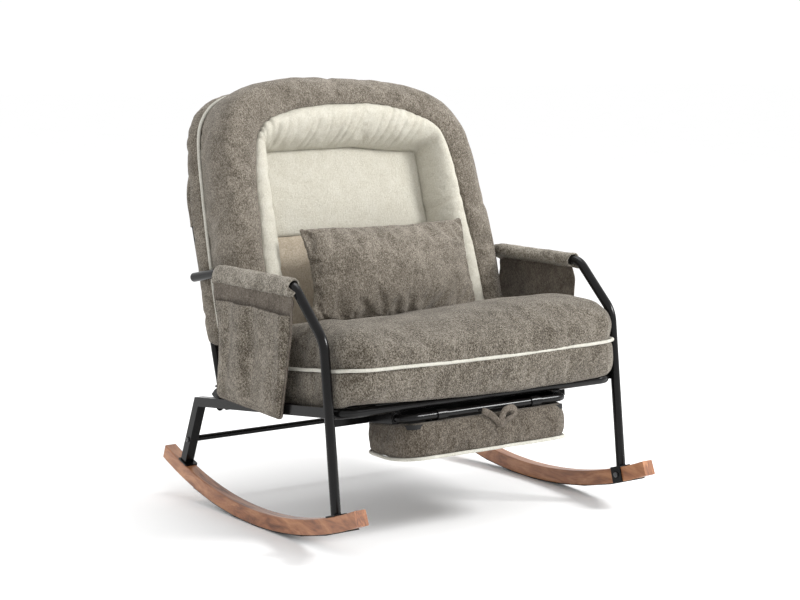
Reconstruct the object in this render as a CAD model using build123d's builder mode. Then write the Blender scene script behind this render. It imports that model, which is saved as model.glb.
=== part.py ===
from build123d import *
import os
from math import sin, cos, tan, radians, sqrt, asin, degrees, pi

os.makedirs("parts", exist_ok=True)

# ---------------------------------------------------------------------------
# Rocker recliner, millimetres. +X is the sitter's left-to-right across the
# chair, -Y is the front, +Z up. Origin on the floor, centre of the chair.
# ---------------------------------------------------------------------------

# ---- driving dimensions ----------------------------------------------------
side_x = 367.5          # side frames lie in the planes x = +-side_x
tube_r = 10.0           # arm and leg tube, seat tube
tube_wall = 1.5
sq = 20.0               # square tube of side rails and rear legs
sq_wall = 1.5

rocker_cy = 2.0         # y of the rocker arc's centre
rocker_R = 1022.0       # radius of the running surface
grip_t = 2.5            # rubber strip under the runner
rocker_w = 27.0
rocker_h = 31.5         # wood height in the radial direction
rocker_front_deg = 22.1
rocker_rear_deg = 21.7

seat_slope = 6.4        # degrees, front edge higher
seat_front_y = -275.5
seat_front_z = 272.0
seat_half = 345.0       # seat tube centreline, half width
seat_corner_r = 32.0
seat_rear_l = 425.0     # rear cross tube, measured along the slope
pivot_l = 482.0         # recline axis, measured along the slope

back_tilt = 16.6        # degrees from vertical at rest
upright_x = 326.0
upright_r = 9.5
arch_top_s = 600.0
arch_corner_r = 175.0

slide_r = 8.0           # footrest U-tube radius
slide_half = 206.0
bar_l = -15.4           # front bar of the U-tube, in the seat plane's frame
bar_w = -23.9
slide_rear_l = 418.0

# ---- derived frames --------------------------------------------------------
ca, sa = cos(radians(seat_slope)), sin(radians(seat_slope))
ct, st = cos(radians(back_tilt)), sin(radians(back_tilt))

# seat plane: local x = X, local y = backward down the slope, local z = up
seat_plane = Plane(origin=(0, seat_front_y, seat_front_z), x_dir=(1, 0, 0), z_dir=(0, sa, ca))


def seat_pt(l, w=0.0):
    """(y, z) of a point l along the seat slope and w above the seat plane"""
    return (seat_front_y + l * ca + w * sa, seat_front_z - l * sa + w * ca)


pivot_y, pivot_z = seat_pt(pivot_l)
# back plane: local x = X, local y = up the back, local z = forward
back_plane = Plane(origin=(0, pivot_y, pivot_z), x_dir=(1, 0, 0), z_dir=(0, -ct, st))


def back_pt(s, f):
    """(y, z) of a point s up the back and f in front of the upright's centreline"""
    return (pivot_y + s * st - f * ct, pivot_z + s * ct + f * st)


def cross(p, d, q, e):
    """intersection of the 2-D lines p + t d and q + u e"""
    det = d[0] * (-e[1]) + e[0] * d[1]
    t = ((q[0] - p[0]) * (-e[1]) + e[0] * (q[1] - p[1])) / det
    return (p[0] + t * d[0], p[1] + t * d[1])


rocker_top_R = rocker_R - grip_t - rocker_h


def foot_frame(y0, x0):
    """plane on the runner's top face at y0, x0: local x = X, local y = backward
    along the runner, local z = towards the arc's centre"""
    dy = y0 - rocker_cy
    h = sqrt(rocker_top_R ** 2 - dy ** 2)
    z0 = rocker_R - h
    return Plane(origin=(x0, y0, z0), x_dir=(1, 0, 0), z_dir=(0, -dy / rocker_top_R, h / rocker_top_R))


front_foot_y = -288.0
rear_foot_y = 294.0
foot_t = 3.0            # bracket plate thickness
bolt_in = 20.0          # depth of the bracket bolts in the runners

# ---------------------------------------------------------------------------
# Runners and their rubber strips
# ---------------------------------------------------------------------------
with BuildPart() as rocker_left:
    with BuildSketch(Plane.YZ.offset(-side_x - rocker_w / 2)):
        with BuildLine():
            a0 = -90 - rocker_front_deg
            span = rocker_front_deg + rocker_rear_deg
            outer = CenterArc((rocker_cy, rocker_R), rocker_R - grip_t, a0, span)
            inner = CenterArc((rocker_cy, rocker_R), rocker_top_R, a0, span)
            Line(outer @ 0, inner @ 0)
            Line(outer @ 1, inner @ 1)
        make_face()
    extrude(amount=rocker_w)
    # eased long edges
    fillet(rocker_left.edges().filter_by(GeomType.CIRCLE), radius=2.5)
    # blind cross holes for the bracket bolts, from the inner side
    for y0 in (front_foot_y, rear_foot_y):
        c = foot_frame(y0, 0).from_local_coords((0, 0, -15))
        with BuildSketch(Plane(origin=(-side_x + rocker_w / 2, c.Y, c.Z), z_dir=(-1, 0, 0))):
            Circle(3.0)
        extrude(amount=bolt_in, mode=Mode.SUBTRACT)
rocker_left.part.label = "rocker_left"

with BuildPart() as rocker_right:
    mirror(rocker_left.part, about=Plane.YZ)
rocker_right.part.label = "rocker_right"

with BuildPart() as rocker_grip_left:
    with BuildSketch(Plane.YZ.offset(-side_x - 11)):
        with BuildLine():
            i = CenterArc((rocker_cy, rocker_R), rocker_R - grip_t, -90 - 20.3, 34.3)
            # underside in seven flats, as rubber pressed flat on a floor
            flats = [(rocker_cy + rocker_R * cos(radians(-110.3 + 4.9 * k)), rocker_R + rocker_R * sin(radians(-110.3 + 4.9 * k)))
                     for k in range(8)]
            Polyline(*flats)
            Line(flats[0], i @ 0)
            Line(flats[7], i @ 1)
        make_face()
    extrude(amount=22)
rocker_grip_left.part.label = "rocker_grip_left"

with BuildPart() as rocker_grip_right:
    mirror(rocker_grip_left.part, about=Plane.YZ)
rocker_grip_right.part.label = "rocker_grip_right"

# ---------------------------------------------------------------------------
# Bent tube: front leg, arm support and rear stub in one piece
# ---------------------------------------------------------------------------
arm_pts = [(-290.1, 70.0), (-250.4, 411.4), (-144.8, 510.4), (126.4, 510.4), (248.0, 487.2)]
arm_radii = [60, 45, 80]

with BuildPart() as arm_leg_tube_left:
    with BuildLine(Plane.YZ.offset(-side_x)) as arm_path:
        FilletPolyline(*arm_pts, radius=arm_radii)
    with BuildSketch(Plane(origin=arm_path.line @ 0, z_dir=arm_path.line % 0)):
        Circle(tube_r)
        Circle(tube_r - tube_wall, mode=Mode.SUBTRACT)
    sweep()
    # foot cut to lie on the bracket's plate
    split(bisect_by=foot_frame(front_foot_y, -side_x).offset(foot_t), keep=Keep.TOP)
arm_leg_tube_left.part.label = "arm_leg_tube_left"

with BuildPart() as arm_leg_tube_right:
    mirror(arm_leg_tube_left.part, about=Plane.YZ)
arm_leg_tube_right.part.label = "arm_leg_tube_right"

# domed plugs in the rear ends of the arm tubes
stub_dir = (arm_pts[4][0] - arm_pts[3][0], arm_pts[4][1] - arm_pts[3][1])
stub_len = sqrt(stub_dir[0] ** 2 + stub_dir[1] ** 2)
stub_dir = (stub_dir[0] / stub_len, stub_dir[1] / stub_len)
with BuildPart() as arm_tube_plugs:
    for sx in (-1, 1):
        with BuildSketch(Plane(origin=(sx * side_x, arm_pts[4][0], arm_pts[4][1]), x_dir=(1, 0, 0),
                               z_dir=(0, stub_dir[0], stub_dir[1]))):
            Circle(tube_r)
        extrude(amount=6)
        with BuildSketch(Plane(origin=(sx * side_x, arm_pts[4][0], arm_pts[4][1]), x_dir=(1, 0, 0),
                               z_dir=(0, -stub_dir[0], -stub_dir[1]))):
            Circle(tube_r - tube_wall)
        extrude(amount=14)
    fillet(arm_tube_plugs.edges().filter_by(GeomType.CIRCLE).group_by(Axis.Y)[-1], radius=4.5)
arm_tube_plugs.part.label = "arm_tube_plugs"

# ---------------------------------------------------------------------------
# Side rail and raked rear leg: mitred square tube
# ---------------------------------------------------------------------------
corner = (233.3, 221.5)
rail_d = (-ca, sa)                       # forward along the rail
leg_len = sqrt(0.4415 ** 2 + 1)
leg_d = (0.4415 / leg_len, -1 / leg_len)  # down the rear leg


def off(p, d, k):
    """point p moved sideways from direction d by k"""
    return (p[0] - d[1] * k, p[1] + d[0] * k)


def bar_pts(k0, k1, far_rail, far_leg, which):
    o1 = cross(off(corner, rail_d, k0), rail_d, off(corner, leg_d, -k0), leg_d)
    o2 = cross(off(corner, rail_d, k1), rail_d, off(corner, leg_d, -k1), leg_d)
    if which == "rail":
        a = off((corner[0] + rail_d[0] * far_rail, corner[1] + rail_d[1] * far_rail), rail_d, k0)
        b = off((corner[0] + rail_d[0] * far_rail, corner[1] + rail_d[1] * far_rail), rail_d, k1)
    else:
        a = off((corner[0] + leg_d[0] * far_leg, corner[1] + leg_d[1] * far_leg), leg_d, -k0)
        b = off((corner[0] + leg_d[0] * far_leg, corner[1] + leg_d[1] * far_leg), leg_d, -k1)
    return [o1, a, b, o2]


hs = sq / 2
hi = sq / 2 - sq_wall
with BuildPart() as side_rail_left:
    with BuildSketch(Plane.YZ.offset(-side_x - hs)):
        Polygon(*bar_pts(-hs, hs, 520, 0, "rail"), align=None)
    extrude(amount=sq)
    with BuildSketch(Plane.YZ.offset(-side_x - hi)):
        Polygon(*bar_pts(-hi, hi, 520, 0, "rail"), align=None)
    extrude(amount=2 * hi, mode=Mode.SUBTRACT)
    # coped against the round leg tube
    with BuildSketch(Plane(origin=(-side_x, arm_pts[0][0], arm_pts[0][1]),
                           x_dir=(1, 0, 0),
                           z_dir=(0, arm_pts[1][0] - arm_pts[0][0], arm_pts[1][1] - arm_pts[0][1]))):
        Circle(tube_r)
        Rectangle(60, 60, align=(Align.CENTER, Align.MAX))
    extrude(amount=330, mode=Mode.SUBTRACT)
side_rail_left.part.label = "side_rail_left"

with BuildPart() as side_rail_right:
    mirror(side_rail_left.part, about=Plane.YZ)
side_rail_right.part.label = "side_rail_right"

with BuildPart() as rear_leg_left:
    with BuildSketch(Plane.YZ.offset(-side_x - hs)):
        Polygon(*bar_pts(-hs, hs, 0, 175, "leg"), align=None)
    extrude(amount=sq)
    with BuildSketch(Plane.YZ.offset(-side_x - hi)):
        Polygon(*bar_pts(-hi, hi, 0, 175, "leg"), align=None)
    extrude(amount=2 * hi, mode=Mode.SUBTRACT)
    split(bisect_by=foot_frame(rear_foot_y, -side_x).offset(foot_t), keep=Keep.TOP)
    # bolt hole for the stretcher
    with Locations(Plane(origin=(-side_x, 272.4, 133.0), x_dir=(0, 1, 0), z_dir=(1, 0, 0))):
        Hole(radius=3.0, depth=sq)
rear_leg_left.part.label = "rear_leg_left"

with BuildPart() as rear_leg_right:
    mirror(rear_leg_left.part, about=Plane.YZ)
rear_leg_right.part.label = "rear_leg_right"

# ---------------------------------------------------------------------------
# L-brackets that carry the four legs on the runners, and their bolts
# ---------------------------------------------------------------------------
with BuildPart() as front_leg_brackets:
    for sx in (-1, 1):
        ff = foot_frame(front_foot_y, sx * side_x)
        with BuildSketch(ff.offset(0.2)):
            RectangleRounded(rocker_w, 36, 3)
        extrude(amount=foot_t - 0.2)
        tab_x = side_x - rocker_w / 2 - foot_t / 2
        with BuildSketch(foot_frame(front_foot_y, sx * tab_x).offset(foot_t)):
            Rectangle(foot_t, 30)
        extrude(amount=-36)
        with Locations(Plane(origin=foot_frame(front_foot_y, sx * tab_x).from_local_coords((0, 0, -15)),
                             x_dir=(0, 1, 0), z_dir=(1, 0, 0))):
            Hole(radius=3.0, depth=10)
front_leg_brackets.part.label = "front_leg_brackets"

with BuildPart() as rear_leg_brackets:
    for sx in (-1, 1):
        ff = foot_frame(rear_foot_y, sx * side_x)
        with BuildSketch(ff.offset(0.2)):
            RectangleRounded(rocker_w, 36, 3)
        extrude(amount=foot_t - 0.2)
        tab_x = side_x - rocker_w / 2 - foot_t / 2
        with BuildSketch(foot_frame(rear_foot_y, sx * tab_x).offset(foot_t)):
            Rectangle(foot_t, 30)
        extrude(amount=-36)
        with Locations(Plane(origin=foot_frame(rear_foot_y, sx * tab_x).from_local_coords((0, 0, -15)),
                             x_dir=(0, 1, 0), z_dir=(1, 0, 0))):
            Hole(radius=3.0, depth=10)
rear_leg_brackets.part.label = "rear_leg_brackets"

# button-head bolts through the bracket tabs into the runners
with BuildPart() as bracket_bolts:
    for sx in (-1, 1):
        for y0 in (front_foot_y, rear_foot_y):
            c = foot_frame(y0, 0).from_local_coords((0, 0, -15))
            inner_face = side_x - rocker_w / 2 - foot_t
            with BuildSketch(Plane(origin=(sx * inner_face, c.Y, c.Z), z_dir=(-sx, 0, 0))):
                Circle(5.5)
            extrude(amount=3.2)
            with BuildSketch(Plane(origin=(sx * inner_face, c.Y, c.Z), z_dir=(sx, 0, 0))):
                Circle(3.0)
            extrude(amount=foot_t + bolt_in)
    # hexagon sockets in the heads
    for sx in (-1, 1):
        for y0 in (front_foot_y, rear_foot_y):
            c = foot_frame(y0, 0).from_local_coords((0, 0, -15))
            face = side_x - rocker_w / 2 - foot_t - 3.2
            with BuildSketch(Plane(origin=(sx * face, c.Y, c.Z), z_dir=(sx, 0, 0))):
                RegularPolygon(2.0, 6)
            extrude(amount=2.0, mode=Mode.SUBTRACT)
bracket_bolts.part.label = "bracket_bolts"

# ---------------------------------------------------------------------------
# Rear stretcher between the rear legs
# ---------------------------------------------------------------------------
st_y, st_z = 272.4, 133.0
with BuildPart() as rear_stretcher:
    with BuildSketch(Plane.YZ.offset(-side_x + hs)):
        with Locations((st_y, st_z)):
            Circle(6.5)
            Circle(3.0, mode=Mode.SUBTRACT)
    extrude(amount=2 * (side_x - hs))
rear_stretcher.part.label = "rear_stretcher"

with BuildPart() as stretcher_bolts:
    for sx in (-1, 1):
        with BuildSketch(Plane(origin=(sx * (side_x + hs), st_y, st_z), z_dir=(sx, 0, 0))):
            Circle(5.5)
            RegularPolygon(2.2, 6, mode=Mode.SUBTRACT)
        extrude(amount=3.2)
        with BuildSketch(Plane(origin=(sx * (side_x + hs), st_y, st_z), z_dir=(-sx, 0, 0))):
            Circle(3.0)
        extrude(amount=55)
stretcher_bolts.part.label = "stretcher_bolts"

# ---------------------------------------------------------------------------
# Seat frame: U-shaped front and side tube, rear tube, cross tube, straps
# ---------------------------------------------------------------------------
with BuildPart() as seat_frame_tube:
    with BuildLine(seat_plane) as ring_path:
        FilletPolyline((-seat_half, seat_rear_l - 4), (-seat_half, 0), (seat_half, 0), (seat_half, seat_rear_l - 4),
                       radius=seat_corner_r)
    with BuildSketch(Plane(origin=ring_path.line @ 0, z_dir=ring_path.line % 0)):
        Circle(tube_r)
        Circle(tube_r - tube_wall, mode=Mode.SUBTRACT)
    sweep()
    # ends coped to the rear tube
    with BuildSketch(Plane.YZ.offset(-360)):
        with Locations(seat_pt(seat_rear_l)):
            Circle(tube_r)
    extrude(amount=720, mode=Mode.SUBTRACT)
seat_frame_tube.part.label = "seat_frame_tube"

with BuildPart() as seat_rear_tube:
    with BuildSketch(Plane.YZ.offset(-355)):
        with Locations(seat_pt(seat_rear_l)):
            Circle(tube_r)
            Circle(tube_r - tube_wall, mode=Mode.SUBTRACT)
    extrude(amount=710)
seat_rear_tube.part.label = "seat_rear_tube"

cross_l = 97.6
with BuildPart() as seat_cross_tube:
    with BuildSketch(Plane.YZ.offset(-seat_half)):
        with Locations(seat_pt(cross_l)):
            Circle(8)
            Circle(6.5, mode=Mode.SUBTRACT)
    extrude(amount=2 * seat_half)
    # coped to the side tubes
    for sx in (-1, 1):
        with BuildSketch(Plane(origin=(sx * seat_half, seat_pt(0)[0], seat_pt(0)[1]), x_dir=(1, 0, 0),
                               z_dir=(0, ca, -sa))):
            Circle(tube_r)
            with Locations((0, 0)):
                Rectangle(20, 30, align=(Align.MIN if sx > 0 else Align.MAX, Align.CENTER))
        extrude(amount=120, mode=Mode.SUBTRACT)
seat_cross_tube.part.label = "seat_cross_tube"

# lengthwise straps that carry the seat cushion, hooked round the end tubes
with BuildPart() as seat_straps:
    with Locations(*[seat_plane * Location((x, 12.0 + (seat_rear_l - 24.0) / 2, 11.1)) for x in (-240, -120, 0, 120, 240)]):
        Box(55, seat_rear_l - 4, 1.8)
seat_straps.part.label = "seat_straps"

# spacers welded between the side rails and the seat tube
spacer_ls = (110.0, 340.0)
with BuildPart() as seat_spacers:
    for sx in (-1, 1):
        for l in spacer_ls:
            y, z = seat_pt(l)
            with BuildSketch(Plane(origin=(sx * (side_x - hs), y, z), z_dir=(-sx, 0, 0))):
                Circle(7)
            extrude(amount=10)
    for sx in (-1, 1):
        with BuildSketch(Plane(origin=(sx * seat_half, seat_pt(0)[0], seat_pt(0)[1]), x_dir=(1, 0, 0),
                               z_dir=(0, ca, -sa))):
            Circle(tube_r)
        extrude(amount=420, mode=Mode.SUBTRACT)
seat_spacers.part.label = "seat_spacers"

# ---------------------------------------------------------------------------
# Recline hinges: fixed notched plates, pivot pins, latch pins
# ---------------------------------------------------------------------------
plate_xs = ((313.2, 316.0), (336.0, 338.8))
plate_R = 34.0
with BuildPart() as recline_plates_left:
    for x0, x1 in plate_xs:
        with BuildSketch(Plane.YZ.offset(-x1)):
            with Locations((pivot_y, pivot_z)):
                Circle(16)
            # notched sector for the latch pin
            with BuildLine():
                a1 = CenterArc((pivot_y, pivot_z), plate_R, 26, 60)
                Line((pivot_y, pivot_z), a1 @ 0)
                Line((pivot_y, pivot_z), a1 @ 1)
            make_face()
            with Locations(Location((*seat_pt((seat_rear_l + pivot_l) / 2), 0), (0, 0, -seat_slope))):
                Rectangle(pivot_l - seat_rear_l, 22)
            # seats for the latch pin, one per reclining position
            for k in range(6):
                ang = radians(90 - back_tilt - 7.0 * k)
                with Locations((pivot_y + plate_R * cos(ang), pivot_z + plate_R * sin(ang))):
                    Circle(2.2, mode=Mode.SUBTRACT)
            with Locations((pivot_y, pivot_z)):
                Circle(4.0, mode=Mode.SUBTRACT)
            with Locations(seat_pt(seat_rear_l)):
                Circle(tube_r, mode=Mode.SUBTRACT)
        extrude(amount=x1 - x0)
recline_plates_left.part.label = "recline_plates_left"

with BuildPart() as recline_plates_right:
    mirror(recline_plates_left.part, about=Plane.YZ)
recline_plates_right.part.label = "recline_plates_right"

with BuildPart() as recline_pivot_pins:
    for sx in (-1, 1):
        with BuildSketch(Plane(origin=(sx * 311.2, pivot_y, pivot_z), z_dir=(sx, 0, 0))):
            Circle(4.0)
        extrude(amount=27.6)
        with BuildSketch(Plane(origin=(sx * 338.8, pivot_y, pivot_z), z_dir=(sx, 0, 0))):
            Circle(7.0)
        extrude(amount=3.0)
        with BuildSketch(Plane(origin=(sx * 313.2, pivot_y, pivot_z), z_dir=(-sx, 0, 0))):
            RegularPolygon(7.5, 6)
        extrude(amount=4.0)
recline_pivot_pins.part.label = "recline_pivot_pins"

# ---------------------------------------------------------------------------
# Back frame
# ---------------------------------------------------------------------------
latch_s = 37.3
splice_s = 415.0
with BuildPart() as back_upright_left:
    # solid lower end with the pivot eye, hollow above the latch pin
    with BuildSketch(Plane(origin=back_plane.from_local_coords((-upright_x, 0, 0)), x_dir=(1, 0, 0), z_dir=(0, st, ct))):
        Circle(upright_r)
    extrude(amount=splice_s)
    with BuildSketch(Plane.YZ.offset(-upright_x - 8.3)):
        with Locations((pivot_y, pivot_z)):
            Circle(11.5)
    extrude(amount=16.6)
    with BuildSketch(Plane.YZ.offset(-upright_x - upright_r - 1)):
        with Locations((pivot_y, pivot_z)):
            Circle(4.05)
        with Locations(back_pt(latch_s, 0)):
            Circle(2.5)
    extrude(amount=2 * upright_r + 2, mode=Mode.SUBTRACT)
    with BuildSketch(Plane(origin=back_plane.from_local_coords((-upright_x, 50, 0)), x_dir=(1, 0, 0), z_dir=(0, st, ct))):
        Circle(upright_r - tube_wall)
    extrude(amount=splice_s, mode=Mode.SUBTRACT)
back_upright_left.part.label = "back_upright_left"

with BuildPart() as back_upright_right:
    with BuildSketch(Plane(origin=back_plane.from_local_coords((upright_x, 0, 0)), x_dir=(1, 0, 0), z_dir=(0, st, ct))):
        Circle(upright_r)
    extrude(amount=splice_s)
    with BuildSketch(Plane.YZ.offset(upright_x - 8.3)):
        with Locations((pivot_y, pivot_z)):
            Circle(11.5)
    extrude(amount=16.6)
    with BuildSketch(Plane.YZ.offset(upright_x - upright_r - 1)):
        with Locations((pivot_y, pivot_z)):
            Circle(4.05)
        with Locations(back_pt(latch_s, 0)):
            Circle(2.5)
    extrude(amount=2 * upright_r + 2, mode=Mode.SUBTRACT)
    with BuildSketch(Plane(origin=back_plane.from_local_coords((upright_x, 50, 0)), x_dir=(1, 0, 0), z_dir=(0, st, ct))):
        Circle(upright_r - tube_wall)
    extrude(amount=splice_s, mode=Mode.SUBTRACT)
back_upright_right.part.label = "back_upright_right"

with BuildPart() as back_top_arch:
    with BuildLine(back_plane) as arch_path:
        FilletPolyline((-upright_x, splice_s), (-upright_x, arch_top_s), (upright_x, arch_top_s), (upright_x, splice_s),
                       radius=arch_corner_r)
    with BuildSketch(Plane(origin=arch_path.line @ 0, z_dir=arch_path.line % 0)):
        Circle(upright_r)
        Circle(upright_r - tube_wall, mode=Mode.SUBTRACT)
    sweep()
back_top_arch.part.label = "back_top_arch"

with BuildPart() as recline_latch_pins:
    for sx in (-1, 1):
        y, z = back_pt(latch_s, 0)
        with BuildSketch(Plane(origin=(sx * 311.5, y, z), z_dir=(sx, 0, 0))):
            Circle(2.5)
        extrude(amount=29)
recline_latch_pins.part.label = "recline_latch_pins"

with BuildPart() as back_cross_tubes:
    for s in (112.0, 372.0):
        with BuildSketch(Plane.YZ.offset(-upright_x)):
            with Locations(back_pt(s, 0)):
                Circle(8)
                Circle(6.5, mode=Mode.SUBTRACT)
        extrude(amount=2 * upright_x)
    for sx in (-1, 1):
        with BuildSketch(Plane(origin=back_plane.from_local_coords((sx * upright_x, 60, 0)), x_dir=(1, 0, 0),
                               z_dir=(0, st, ct))):
            Circle(upright_r)
            Rectangle(15, 24, align=(Align.MIN if sx > 0 else Align.MAX, Align.CENTER))
        extrude(amount=360, mode=Mode.SUBTRACT)
back_cross_tubes.part.label = "back_cross_tubes"

# elastic straps stretched across the uprights behind the back cushion
with BuildPart() as back_straps:
    with Locations(*[back_plane * Location((0, s, 10.7)) for s in (170, 240, 310)]):
        Box(2 * (upright_x + 8), 48, 1.8)
back_straps.part.label = "back_straps"

# ---------------------------------------------------------------------------
# Seat cushion
# ---------------------------------------------------------------------------
seat_cush_half = 346.0
bl = seat_pt(-36.0, 12.4)
br = seat_pt(436.0, 12.4)
with BuildPart() as seat_cushion:
    with BuildSketch(Plane.YZ.offset(-seat_cush_half)):
        with BuildLine():
            p_fb = (-309.0, bl[1] + 1.0)
            p_f1 = (-314.0, 350.0)
            Line(p_fb, p_f1)
            Spline(p_f1, (-262.0, 412.0), (-168.0, 436.0), (-60.0, 426.0), (57.0, 393.5),
                   tangents=[(0.1, 1.0), (1.0, -0.42)])
            Line((57.0, 393.5), (157.0, 364.0))
            Line((157.0, 364.0), (157.0, seat_pt(0, 12.4)[1] - (157.0 - seat_pt(0, 12.4)[0]) * tan(radians(seat_slope))))
            Line((157.0, seat_pt(0, 12.4)[1] - (157.0 - seat_pt(0, 12.4)[0]) * tan(radians(seat_slope))), p_fb)
        make_face()
    extrude(amount=2 * seat_cush_half)
    with BuildSketch(Plane.XY.offset(200)):
        with BuildLine():
            FilletPolyline((-seat_cush_half, 158), (-seat_cush_half, -314.5), (seat_cush_half, -314.5),
                           (seat_cush_half, 158), radius=78)
            Line((seat_cush_half, 158), (-seat_cush_half, 158))
        make_face()
    extrude(amount=300, mode=Mode.INTERSECT)
seat_cushion.part.label = "seat_cushion"

# ---------------------------------------------------------------------------
# Back cushion: rear band, front pad, horseshoe bolster, recessed panels
# ---------------------------------------------------------------------------
band_f0, band_f1 = 12.6, 67.4
pad_f0, pad_f1 = 67.6, 186.0
bol_f0, bol_f1 = 67.6, 177.0
pan_f0, pan_f1 = 95.6, 107.6
back_s0 = 131.0
back_s1 = 681.0

with BuildPart() as back_cushion_rear:
    with BuildSketch(back_plane.offset(band_f0)):
        with BuildLine():
            FilletPolyline((-353, back_s0), (-341, back_s1 + 6), (341, back_s1 + 6), (353, back_s0), radius=136)
            Line((353, back_s0), (-353, back_s0))
        make_face()
    extrude(amount=band_f1 - band_f0)
    # the padding is hollowed out behind the recess
    with BuildSketch(back_plane.offset(band_f0 + 6)):
        with Locations((0, 388)):
            RectangleRounded(600, 480, 60)
    extrude(amount=band_f1 - band_f0, mode=Mode.SUBTRACT)
back_cushion_rear.part.label = "back_cushion_rear"

win_pts = [(-284.5, back_s0), (-257.5, 600), (257.5, 600), (284.5, back_s0)]
with BuildPart() as back_cushion_front:
    with BuildSketch(back_plane.offset(pad_f0)):
        with BuildLine():
            FilletPolyline((-347, back_s0), (-333, back_s1), (333, back_s1), (347, back_s0), radius=132)
            Line((347, back_s0), (-347, back_s0))
        make_face()
    extrude(amount=pad_f1 - pad_f0)
    fillet(back_cushion_front.faces().sort_by(Axis((0, 0, 0), (0, -ct, st)))[-1].edges()
           .filter_by(lambda e: e.center().Z > back_pt(back_s0 + 30, 150)[1]), radius=34)
    with BuildSketch(back_plane.offset(pad_f0)):
        with BuildLine():
            FilletPolyline(*win_pts, radius=90)
            Line(win_pts[3], win_pts[0])
        make_face()
    extrude(amount=150, mode=Mode.SUBTRACT)
back_cushion_front.part.label = "back_cushion_front"

bol_out = [(-284.2, back_s0), (-257.2, 599.7), (257.2, 599.7), (284.2, back_s0)]
rec_half = 210.0
rec_top = 521.0
with BuildPart() as back_bolster:
    with BuildSketch(back_plane.offset(bol_f0)):
        with BuildLine():
            FilletPolyline(*bol_out, radius=89.7)
            Line(bol_out[3], bol_out[0])
        make_face()
        with BuildLine():
            FilletPolyline((-rec_half, back_s0 - 5), (-rec_half, rec_top), (rec_half, rec_top), (rec_half, back_s0 - 5),
                           radius=14)
            Line((rec_half, back_s0 - 5), (-rec_half, back_s0 - 5))
        make_face(mode=Mode.SUBTRACT)
    extrude(amount=bol_f1 - bol_f0)
    # the roll slopes down into the recess
    with BuildSketch(back_plane.offset(bol_f1 - 38)):
        with BuildLine():
            FilletPolyline((-rec_half, back_s0 - 60), (-rec_half, rec_top), (rec_half, rec_top), (rec_half, back_s0 - 60),
                           radius=14)
            Line((rec_half, back_s0 - 60), (-rec_half, back_s0 - 60))
        make_face()
    extrude(amount=39, taper=-44, mode=Mode.SUBTRACT)
back_bolster.part.label = "back_bolster"

seam_s = 332.0
with BuildPart() as back_panel_upper:
    with BuildSketch(back_plane.offset(pan_f0)):
        with BuildLine():
            FilletPolyline((-rec_half + 0.3, seam_s + 0.2), (-rec_half + 0.3, rec_top - 0.3),
                           (rec_half - 0.3, rec_top - 0.3), (rec_half - 0.3, seam_s + 0.2), radius=13.7)
            Line((rec_half - 0.3, seam_s + 0.2), (-rec_half + 0.3, seam_s + 0.2))
        make_face()
    extrude(amount=pan_f1 - pan_f0)
back_panel_upper.part.label = "back_panel_upper"

with BuildPart() as back_panel_lower:
    with BuildSketch(back_plane.offset(pan_f0)):
        with BuildLine():
            Polyline((-rec_half + 0.3, back_s0), (-rec_half + 0.3, seam_s - 0.2), (rec_half - 0.3, seam_s - 0.2),
                     (rec_half - 0.3, back_s0), close=True)
        make_face()
    extrude(amount=pan_f1 - pan_f0)
back_panel_lower.part.label = "back_panel_lower"

# fabric hood that slips over the top of the back frame
hood_s0 = 386.0
hood_x = upright_x + 12.2
with BuildPart() as back_hood:
    with BuildSketch(back_plane.offset(-12.2)):
        with BuildLine():
            FilletPolyline((-hood_x, hood_s0), (-hood_x, arch_top_s + 12), (hood_x, arch_top_s + 12), (hood_x, hood_s0),
                           radius=arch_corner_r + 12)
            Line((hood_x, hood_s0), (-hood_x, hood_s0))
        make_face()
    extrude(amount=24.4)
    with BuildSketch(back_plane.offset(-9.9)):
        with BuildLine():
            FilletPolyline((-hood_x + 2.2, hood_s0 - 5), (-hood_x + 2.2, arch_top_s + 9.9), (hood_x - 2.2, arch_top_s + 9.9),
                           (hood_x - 2.2, hood_s0 - 5), radius=arch_corner_r + 9.9)
            Line((hood_x - 2.2, hood_s0 - 5), (-hood_x + 2.2, hood_s0 - 5))
        make_face()
    extrude(amount=19.8, mode=Mode.SUBTRACT)
back_hood.part.label = "back_hood"

# ---------------------------------------------------------------------------
# Lumbar pillow
# ---------------------------------------------------------------------------
pil_s0, pil_s1 = 138.0, 326.0
pil_f0, pil_f1 = 187.5, 262.0
with BuildPart() as lumbar_pillow:
    with BuildSketch(back_plane.offset((pil_f0 + pil_f1) / 2)):
        with Locations((0, (pil_s0 + pil_s1) / 2)):
            RectangleRounded(424, pil_s1 - pil_s0, 20)
    extrude(amount=(pil_f1 - pil_f0) / 2, both=True)
    fillet(lumbar_pillow.faces().sort_by(Axis((0, 0, 0), (0, -ct, st)))[-1].edges(), radius=19)
    fillet(lumbar_pillow.faces().sort_by(Axis((0, 0, 0), (0, -ct, st)))[0].edges(), radius=19)
lumbar_pillow.part.label = "lumbar_pillow"

# ---------------------------------------------------------------------------
# Arm sleeves, hanging side panels, patch pockets
# ---------------------------------------------------------------------------
sleeve_r0, sleeve_r1 = 10.6, 15.4
with BuildPart() as arm_sleeve_left:
    with BuildLine(Plane.YZ.offset(-side_x)) as sl_path:
        FilletPolyline((-124.0, 510.4), (126.4, 510.4), (150.0, 510.4 + 23.6 * stub_dir[1] / stub_dir[0]), radius=80)
    with BuildSketch(Plane(origin=sl_path.line @ 0, z_dir=sl_path.line % 0)):
        Circle(sleeve_r1)
        Circle(sleeve_r0, mode=Mode.SUBTRACT)
    sweep()
arm_sleeve_left.part.label = "arm_sleeve_left"

with BuildPart() as arm_sleeve_right:
    mirror(arm_sleeve_left.part, about=Plane.YZ)
arm_sleeve_right.part.label = "arm_sleeve_right"

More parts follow.
